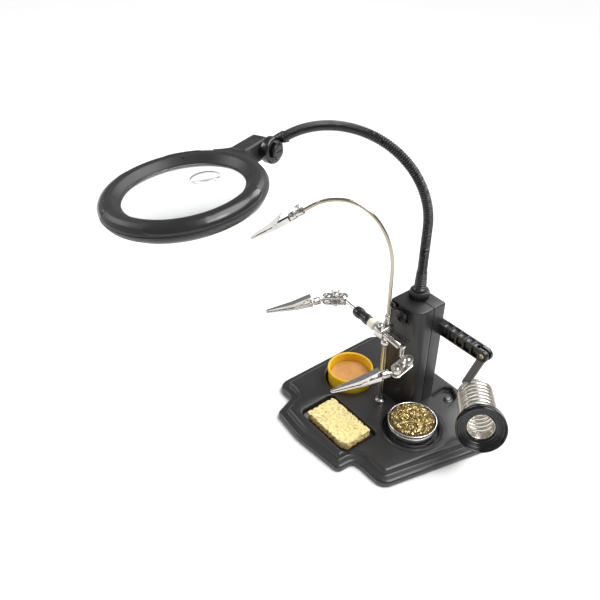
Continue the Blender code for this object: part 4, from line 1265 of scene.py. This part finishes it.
def knob_pieces(along):
    """Black two-lobed clamp knob with a pale ferrule, both threaded on the cross bar."""
    profile = curved(
        [
            (0, -43.0), (4.4, -43.0), (6.0, -41.2), (6.45, -36.0), (5.2, -30.0), (5.8, -24.0), (5.2, -18.2),
            (0, -18.0),
        ],
        1.6, 5,
    )
    grip = lathe(profile, 48)
    for vert in grip.verts:
        lobe = 1.0 - 0.07 * (0.5 - 0.5 * math.cos(2 * math.atan2(vert.co.y, vert.co.x)))
        if vert.co.z < -26:
            vert.co.x *= lobe
            vert.co.y *= lobe
    knob = piece("clamp_knob_lobed", grip, "grip", "clamp_knob", ["clamp_knob"], POST + BAR_AT * MM, along)
    cut(knob, lathe(rod(2.3, -60, 0), 32), POST + BAR_AT * MM, along)
    for z in (-33.5, -31.5, -29.5):
        cut(
            knob, lathe([(5.05, z - 0.3), (8, z - 0.3), (8, z + 0.3), (5.05, z + 0.3)], 48),
            POST + BAR_AT * MM, along,
        )
    ferrule = curved(
        [(2.3, -18.0), (5.0, -18.0), (5.5, -17.2), (5.35, -10.4), (4.6, -9.8), (2.3, -9.8)], 0.5, 3
    )
    piece("clamp_knob_ferrule", lathe(ferrule, 48), "cream", "clamp_knob", at=POST + BAR_AT * MM, turn=along)


def make_clamp(side, ball_at, clamp_way, clip_way):
    body = f"{side}_clamp"
    turn = clip_frame(clamp_way)
    along = Vector(clamp_way).normalized()
    middle = POST + (ball_at + along * CLAMP_SPAN / 2) * MM
    half = CLAMP_SPAN / 2
    for name, sign in (("top", 1), ("bottom", -1)):
        levels = [(0.5, 0.0), (0.0, 0.35), (0.0, 1.25), (0.5, 1.75)]
        shape = rectangle(half + 5.3, 5.3, 5.1)
        rings = [(rounded(shape, inset, steps=8), sign * (CLAMP_HALF_GAP + z)) for inset, z in levels]
        plate = piece(f"{body}_{name}_pressed", stack(rings), "nickel", body, [f"{body}_{name}_plate"],
                      middle, turn)
        for x, radius in ((-half, 3.5), (0.0, 1.9), (half, 3.5)):
            cut(plate, lathe(rod(radius, -9, 9), 40), middle, turn @ Matrix.Translation((x * MM, 0, 0)))
        for x in (half * 0.5, -half * 0.5):
            cut(plate, block((3.6, 7.0, 0.7), (x, 0, sign * (CLAMP_HALF_GAP + 1.9)), 0.3), middle, turn)
        soften(plate, 0.15, 2, 35)
    screw_turn = turn if side == "left" else turn @ Matrix.Rotation(math.pi, 4, "X")
    nut = toothed(2.9, 0.0, 6, -8.2, -5.6)
    bevelled(nut, 0.25, 2)
    thread = [(0.0, -8.4)]
    for number in range(11):
        thread += [(1.7, -8.3 + 1.25 * number), (1.4, -7.7 + 1.25 * number)]
    thread += [(1.7, 5.2), (0.0, 5.2)]
    screw = join(nut, lathe(thread, 24), wing_screw(5.0, 1.6, 5.3, 5.0, 5.0), washer_ring(3.1, 1.8, 5.1, 5.6))
    piece(
        f"{side}_wing_screw_cast", screw, "nickel", f"{side}_wing_screw", [f"{side}_wing_screw"], middle,
        screw_turn,
    )
    make_clip(side, ball_at + along * CLAMP_SPAN, clip_way, True)


def serrated(front, back, gap, step=1.5):
    """Points of a toothed edge along X from front to back, whose tips reach height gap."""
    points, x = [], front
    while x > back:
        points += [(x, gap), (x - step * 0.5, gap + math.copysign(0.7, gap))]
        x -= step
    return points


def jaw_shell(outline, narrow, wide, front, back):
    """Solid with this side outline (x, z), wide at the back and narrow at the nose."""
    def half(x):
        share = min(max((x - back) / (front - back), 0.0), 1.0)
        return wide + (narrow - wide) * share
    return loft([[(x, half(x) * sign, z) for x, z in outline] for sign in (-1, 1)])


def make_clip(side, back, way, has_ball):
    """Sprung clip: a crimped ferrule, two folded jaws with teeth, a rivet and a coiled spring."""
    turn = clip_frame(way)
    pivot = POST + (back + Vector(way).normalized() * CLIP_BACK) * MM
    along = turn @ frame_of((1, 0, 0))
    if has_ball:
        stud = ball(BALL, -CLIP_BACK, 0, 154, 14) + [
            (1.5, -CLIP_BACK + 4.4), (1.5, -CLIP_BACK + 7.6), (3.4, -CLIP_BACK + 8.0)
        ]
    else:
        stud = [
            (0, -CLIP_BACK), (3.2, -CLIP_BACK), (3.7, -CLIP_BACK + 0.6), (3.7, -CLIP_BACK + 6.0),
            (3.2, -CLIP_BACK + 6.4), (3.2, -CLIP_BACK + 8.0),
        ]
    stud += [
        (4.1, -CLIP_BACK + 8.4), (4.1, -CLIP_BACK + 9.6), (3.7, -CLIP_BACK + 9.9),
        (4.15, -CLIP_BACK + 10.6), (4.15, -18.6), (3.8, -18.2), (4.1, -17.6), (3.4, -16.9), (0, -16.9),
    ]
    piece(
        f"{side}_clip_ferrule_crimped", lathe(stud, 40), "nickel", f"{side}_clip", [f"{side}_clip_ferrule"],
        pivot, along,
    )
    lower = [
        (-16.2, -3.4), (2.0, -3.5), (CLIP_FRONT * 0.6, -2.6), (CLIP_FRONT - 1.4, -1.7),
        (CLIP_FRONT - 0.2, -1.2),
    ] + serrated(CLIP_FRONT - 0.4, 14.0, -0.2)
    lower += [(12.6, -0.3), (5.6, -0.6), (1.6, 1.4), (-1.6, 1.4), (-7.0, 1.4), (-16.2, 1.5)]
    fixed = piece(
        f"{side}_clip_fixed_folded", jaw_shell(lower, 1.15, 3.75, CLIP_FRONT, 2.0), "nickel",
        f"{side}_clip", [f"{side}_clip_fixed_jaw"], pivot, turn,
    )
    room = [
        (-20.0, -2.7), (2.0, -2.8), (CLIP_FRONT * 0.6, -2.0), (CLIP_FRONT - 4.0, -1.3),
        (CLIP_FRONT - 4.0, 6.0), (-20.0, 6.0),
    ]
    cut(fixed, jaw_shell(room, 0.55, 3.1, CLIP_FRONT, 2.0), pivot, turn)
    upper = serrated(CLIP_FRONT - 0.4, 14.0, 0.2)
    upper += [
        (12.6, 0.3), (5.0, 0.6), (1.6, -1.2), (-1.4, -1.2), (-3.6, 2.6), (-9.0, 6.2), (-15.2, 8.0),
        (-15.0, 9.1), (-8.4, 7.8), (5.8, 4.3), (CLIP_FRONT * 0.6, 3.0), (CLIP_FRONT - 1.4, 1.7),
        (CLIP_FRONT - 0.2, 1.2),
    ]
    sprung = piece(
        f"{side}_clip_sprung_folded", jaw_shell(upper, 1.1, 3.3, CLIP_FRONT, 2.0), "nickel", f"{side}_jaw",
        [f"{side}_clip_sprung_jaw"], pivot, turn,
    )
    room = [
        (-14.0, -6.0), (CLIP_FRONT - 4.0, -6.0), (CLIP_FRONT - 4.0, 1.3), (CLIP_FRONT * 0.6, 2.2),
        (5.6, 3.6), (-8.0, 7.0), (-14.0, 7.9),
    ]
    cut(sprung, jaw_shell(room, 0.5, 2.65, CLIP_FRONT, 2.0), pivot, turn)
    for part in (fixed, sprung):
        soften(part, 0.12, 2, 40)
    rivet = lathe(
        curved(
            [
                (0, -3.9), (1.1, -3.9), (1.5, -3.5), (0.8, -3.2), (0.8, 3.2), (1.5, 3.5), (1.1, 3.9),
                (0, 3.9),
            ],
            0.2, 2,
        ),
        24,
    )
    piece(f"{side}_clip_rivet", rivet, "spring", f"{side}_clip", at=pivot, turn=turn @ frame_of((0, 1, 0)))
    angles = [i * math.tau / 14 for i in range(71)]
    coil = [Vector((1.55 * math.cos(a), a / math.tau * 0.8 - 2.0, 1.55 * math.sin(a))) for a in angles]
    coil = [Vector((-9.0, -2.0, -2.2)), *coil, Vector((-9.0, 2.0, 5.2))]
    flat = turn.to_3x3()
    swept(
        f"{side}_clip_spring", [flat @ point for point in coil], 0.32, "spring", f"{side}_clip", sides=1,
        at=pivot,
    )


# ---------------------------------------------------------------- wire arm with its clip

def wire_point(angle):
    turn = math.radians(angle)
    rise = WIRE_RISE if angle < 90.0 else WIRE_BEND
    return NECK_WAY * WIRE_BEND * (1.0 - math.cos(turn)) + UP * (WIRE_TOP - rise * (1.0 - math.sin(turn)))


def make_wire():
    points = [
        UP * 122.6, UP * 136, UP * 150, UP * 162, UP * 174
    ] + [wire_point(2.0 + 1.5 * i) for i in range(83)]
    end = wire_point(WIRE_END_ANGLE)
    way = tangent(WIRE_END_ANGLE)
    points += [end, end + way * 6, end + way * 12.1]
    rod_piece = swept(
        "wire_arm_drawn", points, 1.88, "wire", "wire_foot", ["wire_lower", "wire_upper"], sides=6
    )
    rod_piece.parent = None
    POST + wire_point(82) * MM
    POST + wire_point(98) * MM
    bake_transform(rod_piece)
    socket = [
        (2.0, 122.3), (3.1, 122.3), (3.1, 126.4), (2.7, 126.9), (3.1, 127.4), (3.1, 131.4), (2.4, 132.4),
        (2.0, 132.4),
    ]
    piece("wire_foot_socket", lathe(curved(socket, 0.3, 3), 40), "nickel", "wire_foot")
    make_clip("wire", end + way * 12.2, way, False)
    turn = clip_frame(way)
    thumb = POST + (end + way * 15.4) * MM
    upright = (turn @ Vector((0, 0, 1, 0))).xyz
    screw = join(
        lathe(curved([(0, 2.8), (1.2, 2.8), (1.2, 5.6), (2.6, 5.9), (2.6, 7.4), (0, 7.6)], 0.3, 3), 32),
        toothed(2.75, 0.3, 18, 6.0, 7.2),
    )
    piece("wire_clip_thumb_screw", screw, "nickel", "wire_clip", at=thumb, turn=frame_of(upright))


# ---------------------------------------------------------------- folding arm and iron holder

def make_arm():
    length, half, width = ARM_END.x - ARM_AT.x, ARM_HALF, ARM_WIDTH
    outline = rounded(
        [
            (-half, -half, half - 0.1), (length + half, -half, half - 0.1),
            (length + half, half, half - 0.1), (-half, half, half - 0.1),
        ],
        steps=12,
    )
    levels = [
        (1.0, -width / 2 + 0.1), (0.0, -width / 2 + 0.8), (0.0, width / 2 - 0.8), (1.0, width / 2 - 0.1)
    ]
    loops = []
    for inset, y in levels:
        heart = Vector((length / 2, y, 0))
        loops.append([heart + Vector((x - length / 2, 0, z)) * (1 - inset / 40) for x, z in outline])
    shell = loft(loops)
    at = POST + ARM_AT * MM
    arm = piece("ribbed_arm_moulded", shell, "grip", "folding_arm", ["ribbed_arm"], at)
    bays = [11.2 + 9.7 * number for number in range(5)]
    for x in bays:
        for sign in (-1, 1):
            cut(arm, block((7.6, 5.0, 2 * half - 3.4), (x, sign * (width / 2 - 1.0), 0), 0.8), at)
    for x in bays:
        for sign in (1, -1):
            cut(arm, block((7.6, width - 3.4, 2.4), (x, 0, sign * half), 0.5), at)
    cut(arm, block((22, 3.2, 40), (length + 1.0, 0, 0)), at)
    soften(arm, 0.3, 2, 38)
    for x in (0.0, length):
        for sign in (-1, 1):
            spot = at + Vector((x, sign * (width / 2 - 0.2), 0)) * MM
            facing = frame_of((0, sign, 0))
            name = f"{x:.0f}_{'front' if sign < 0 else 'back'}"
            fitted_screw(f"arm_screw_{name}", (3.6, 0.9), "nickel", "folding_arm",
                         spot - Vector((0, sign * 0.6, 0)) * MM, facing)
            piece(f"arm_boss_{name}", washer_ring(4.6, 3.9, -0.3, 0.35), "grip", "folding_arm",
                  at=spot - Vector((0, sign * 0.3, 0)) * MM, turn=facing)


def make_link():
    down = LINK_END - ARM_END
    lean = math.atan2(down.x, -down.z)
    turn = Matrix.Rotation(-lean, 4, "Y") @ Matrix.Rotation(math.radians(90), 4, "X")
    long_half = (down.length + 8.4) / 2
    levels = [(0.35, -1.3), (0.0, -0.95), (0.0, 0.95), (0.35, 1.3)]
    rings = []
    for inset, z in levels:
        outline = rounded(rectangle(4.3, long_half, 4.2), inset, steps=10)
        rings.append(([Vector((x, y - down.length / 2)) for x, y in outline], z))
    strip = stack(rings)
    at = POST + ARM_END * MM
    link = piece("folding_link_pressed", strip, "grey", "folding_link", ["folding_link"], at, turn)
    for sign in (-1, 1):
        cut(link, block((2.6, down.length - 15.0, 0.7), (0, -down.length / 2, sign * 1.3), 0.3), at, turn)
    rivet = lathe(curved([(0, -1.5), (1.7, -1.5), (1.7, 1.5), (0, 1.5)], 0.3, 3), 28)
    piece(
        "folding_link_rivet", moved(rivet, (0, -down.length, 0)), "nickel", "folding_link", at=at, turn=turn
    )


def make_holder():
    at, side = POST + HOLDER_BACK * MM, frame_of(HOLDER_WAY, (0, 0, 1))
    wire, middle, pitch = 1.55, COIL_RADIUS - 1.6, 7.4
    turns = (COIL_LENGTH - 2 * wire) / pitch
    points = []
    steps = int(turns * 40)
    for step in range(steps + 1):
        angle = math.tau * step / 40
        points.append(
            (middle * math.cos(angle), middle * math.sin(angle), COIL_START + wire + pitch * step / 40)
        )
    flat = side.to_3x3()
    for number, z in enumerate((COIL_START + wire, COIL_START + COIL_LENGTH - wire)):
        angles = [math.tau * i / 48 for i in range(49)]
        ring = [flat @ Vector((middle * math.cos(a), middle * math.sin(a), z)) for a in angles]
        swept(f"holder_end_ring_{number}", ring, wire, "spring", "holder", sides=3, at=at)
    swept(
        "holder_spring", [flat @ Vector(point) for point in points], wire, "spring", "holder",
        ["holder_coil"], sides=3, at=at,
    )
    front = COIL_START + COIL_LENGTH + 0.15
    bowl = curved(
        [
            (FUNNEL_HOLE, front + 1.6), (FUNNEL_HOLE + 1.4, front + 0.7), (19.4, front), (23.0, front),
            (24.0, front + 0.9), (24.3, front + 2.4), (24.0, front + 4.2), (24.3, front + 5.4),
            (24.3, front + 8.8), (23.9, front + 9.9), (22.9, front + 9.9), (22.2, front + 9.0),
            (21.7, front + 7.2), (20.6, front + 7.0), (20.2, front + 6.2), (19.3, front + 6.1),
            (18.8, front + 4.7), (17.4, front + 4.6), (16.9, front + 3.9), (14.6, front + 3.7),
            (FUNNEL_HOLE, front + 2.8),
        ],
        0.4, 3,
    )
    funnel = piece("holder_funnel_turned", lathe(bowl, 96), "funnel", "holder", ["holder_funnel"], at, side)
    for number in range(3):
        angle = math.tau * (number / 3 + 0.1)
        spot = at + flat @ Vector((21.2 * math.cos(angle), 21.2 * math.sin(angle), front)) * MM
        cut(funnel, lathe(rod(1.1, -1, 1.2), 24), spot, side)
    liner = lathe(
        curved(
            [
                (12.2, front - 7.0), (13.2, front - 7.0), (13.35, front + 1.2), (13.35, front + 2.6),
                (12.6, front + 2.9), (12.3, front + 1.4),
            ],
            0.3, 3,
        ),
        64,
    )
    piece("holder_steel_liner", liner, "spring", "holder", at=at, turn=side)


# ---------------------------------------------------------------- everything else, floor and light

def finish_frame():
    """Gives every CAD node, shown or hidden, a finish chosen by its name in all its material slots: charcoal,
    unless it is the battery or the LED board.
    """
    chosen = {"battery": "cell", "led_board": "board"}
    for name, node in frame["nodes"].items():
        finish = next((value for start, value in chosen.items() if name.startswith(start)), "charcoal")
        for index in range(max(len(node.data.materials), 1)):
            if index < len(node.data.materials):
                node.data.materials[index] = FINISH[finish].material
            else:
                node.data.materials.append(FINISH[finish].material)


def studio_lamp(light, spot):
    lamp = bpy.data.objects.new(light.name, light)
    lamp.location = spot
    lamp.rotation_euler = (Vector((0, 0, 0.1)) - lamp.location).to_track_quat("-Z", "Y").to_euler()
    bpy.context.scene.collection.objects.link(lamp)


def make_studio():
    bm = bmesh.new()
    bmesh.ops.create_grid(bm, x_segments=1, y_segments=1, size=4.0)
    floor = piece(
        "floor", bm, "floor", None, at=Vector((0, 0, -0.0002)), turn=Matrix.Scale(1 / MM, 4), clean=False
    )
    world = bpy.data.worlds.new("studio")
    world.use_nodes = True
    world.node_tree.nodes["Background"].inputs["Color"].default_value = rgb(1.0, 1.0, 1.0)
    world.node_tree.nodes["Background"].inputs["Strength"].default_value = 0.32
    bpy.context.scene.world = world
    sun = bpy.data.lights.new("sky_panel", "SUN")
    sun.energy = 2.7
    sun.angle = math.radians(50)
    studio_lamp(sun, (0.5, 0.7, 1.6))
    lamps = (("key", (0.8, 0.1, 1.2), 0.5, 6.0), ("fill", (-1.0, -0.7, 0.9), 0.5, 4.5),
             ("back", (-0.2, 1.1, 0.9), 0.6, 6.0))
    for name, spot, size, power in lamps:
        light = bpy.data.lights.new(name, "AREA")
        light.size = size
        light.energy = power
        studio_lamp(light, spot)
    lens = bpy.data.cameras.new("camera")
    lens.lens = 40.59
    camera = bpy.data.objects.new("camera", lens)
    camera.location = (0.3900, -0.3267, 0.5454)
    camera.rotation_euler = (
        Vector((-0.0721, 0.0302, 0.12)) - camera.location
    ).to_track_quat("-Z", "Y").to_euler()
    bpy.context.scene.collection.objects.link(camera)
    bpy.context.scene.camera = camera
    bpy.context.scene.view_settings.view_transform = "Standard"


make_base()
make_pocket_screw()
make_tub()
make_tin()
make_sponge()
make_column()
make_jack_and_switch()
make_neck()
make_lamp()
make_post()
make_clamp("left", BAR_AT + BAR_WAY * LEFT_BALL, LEFT_CLAMP_WAY, LEFT_CLIP_WAY)
make_clamp("right", RIGHT_BALL, RIGHT_CLAMP_WAY, RIGHT_CLIP_WAY)
make_wire()
make_arm()
make_link()
make_holder()
finish_frame()
make_studio()
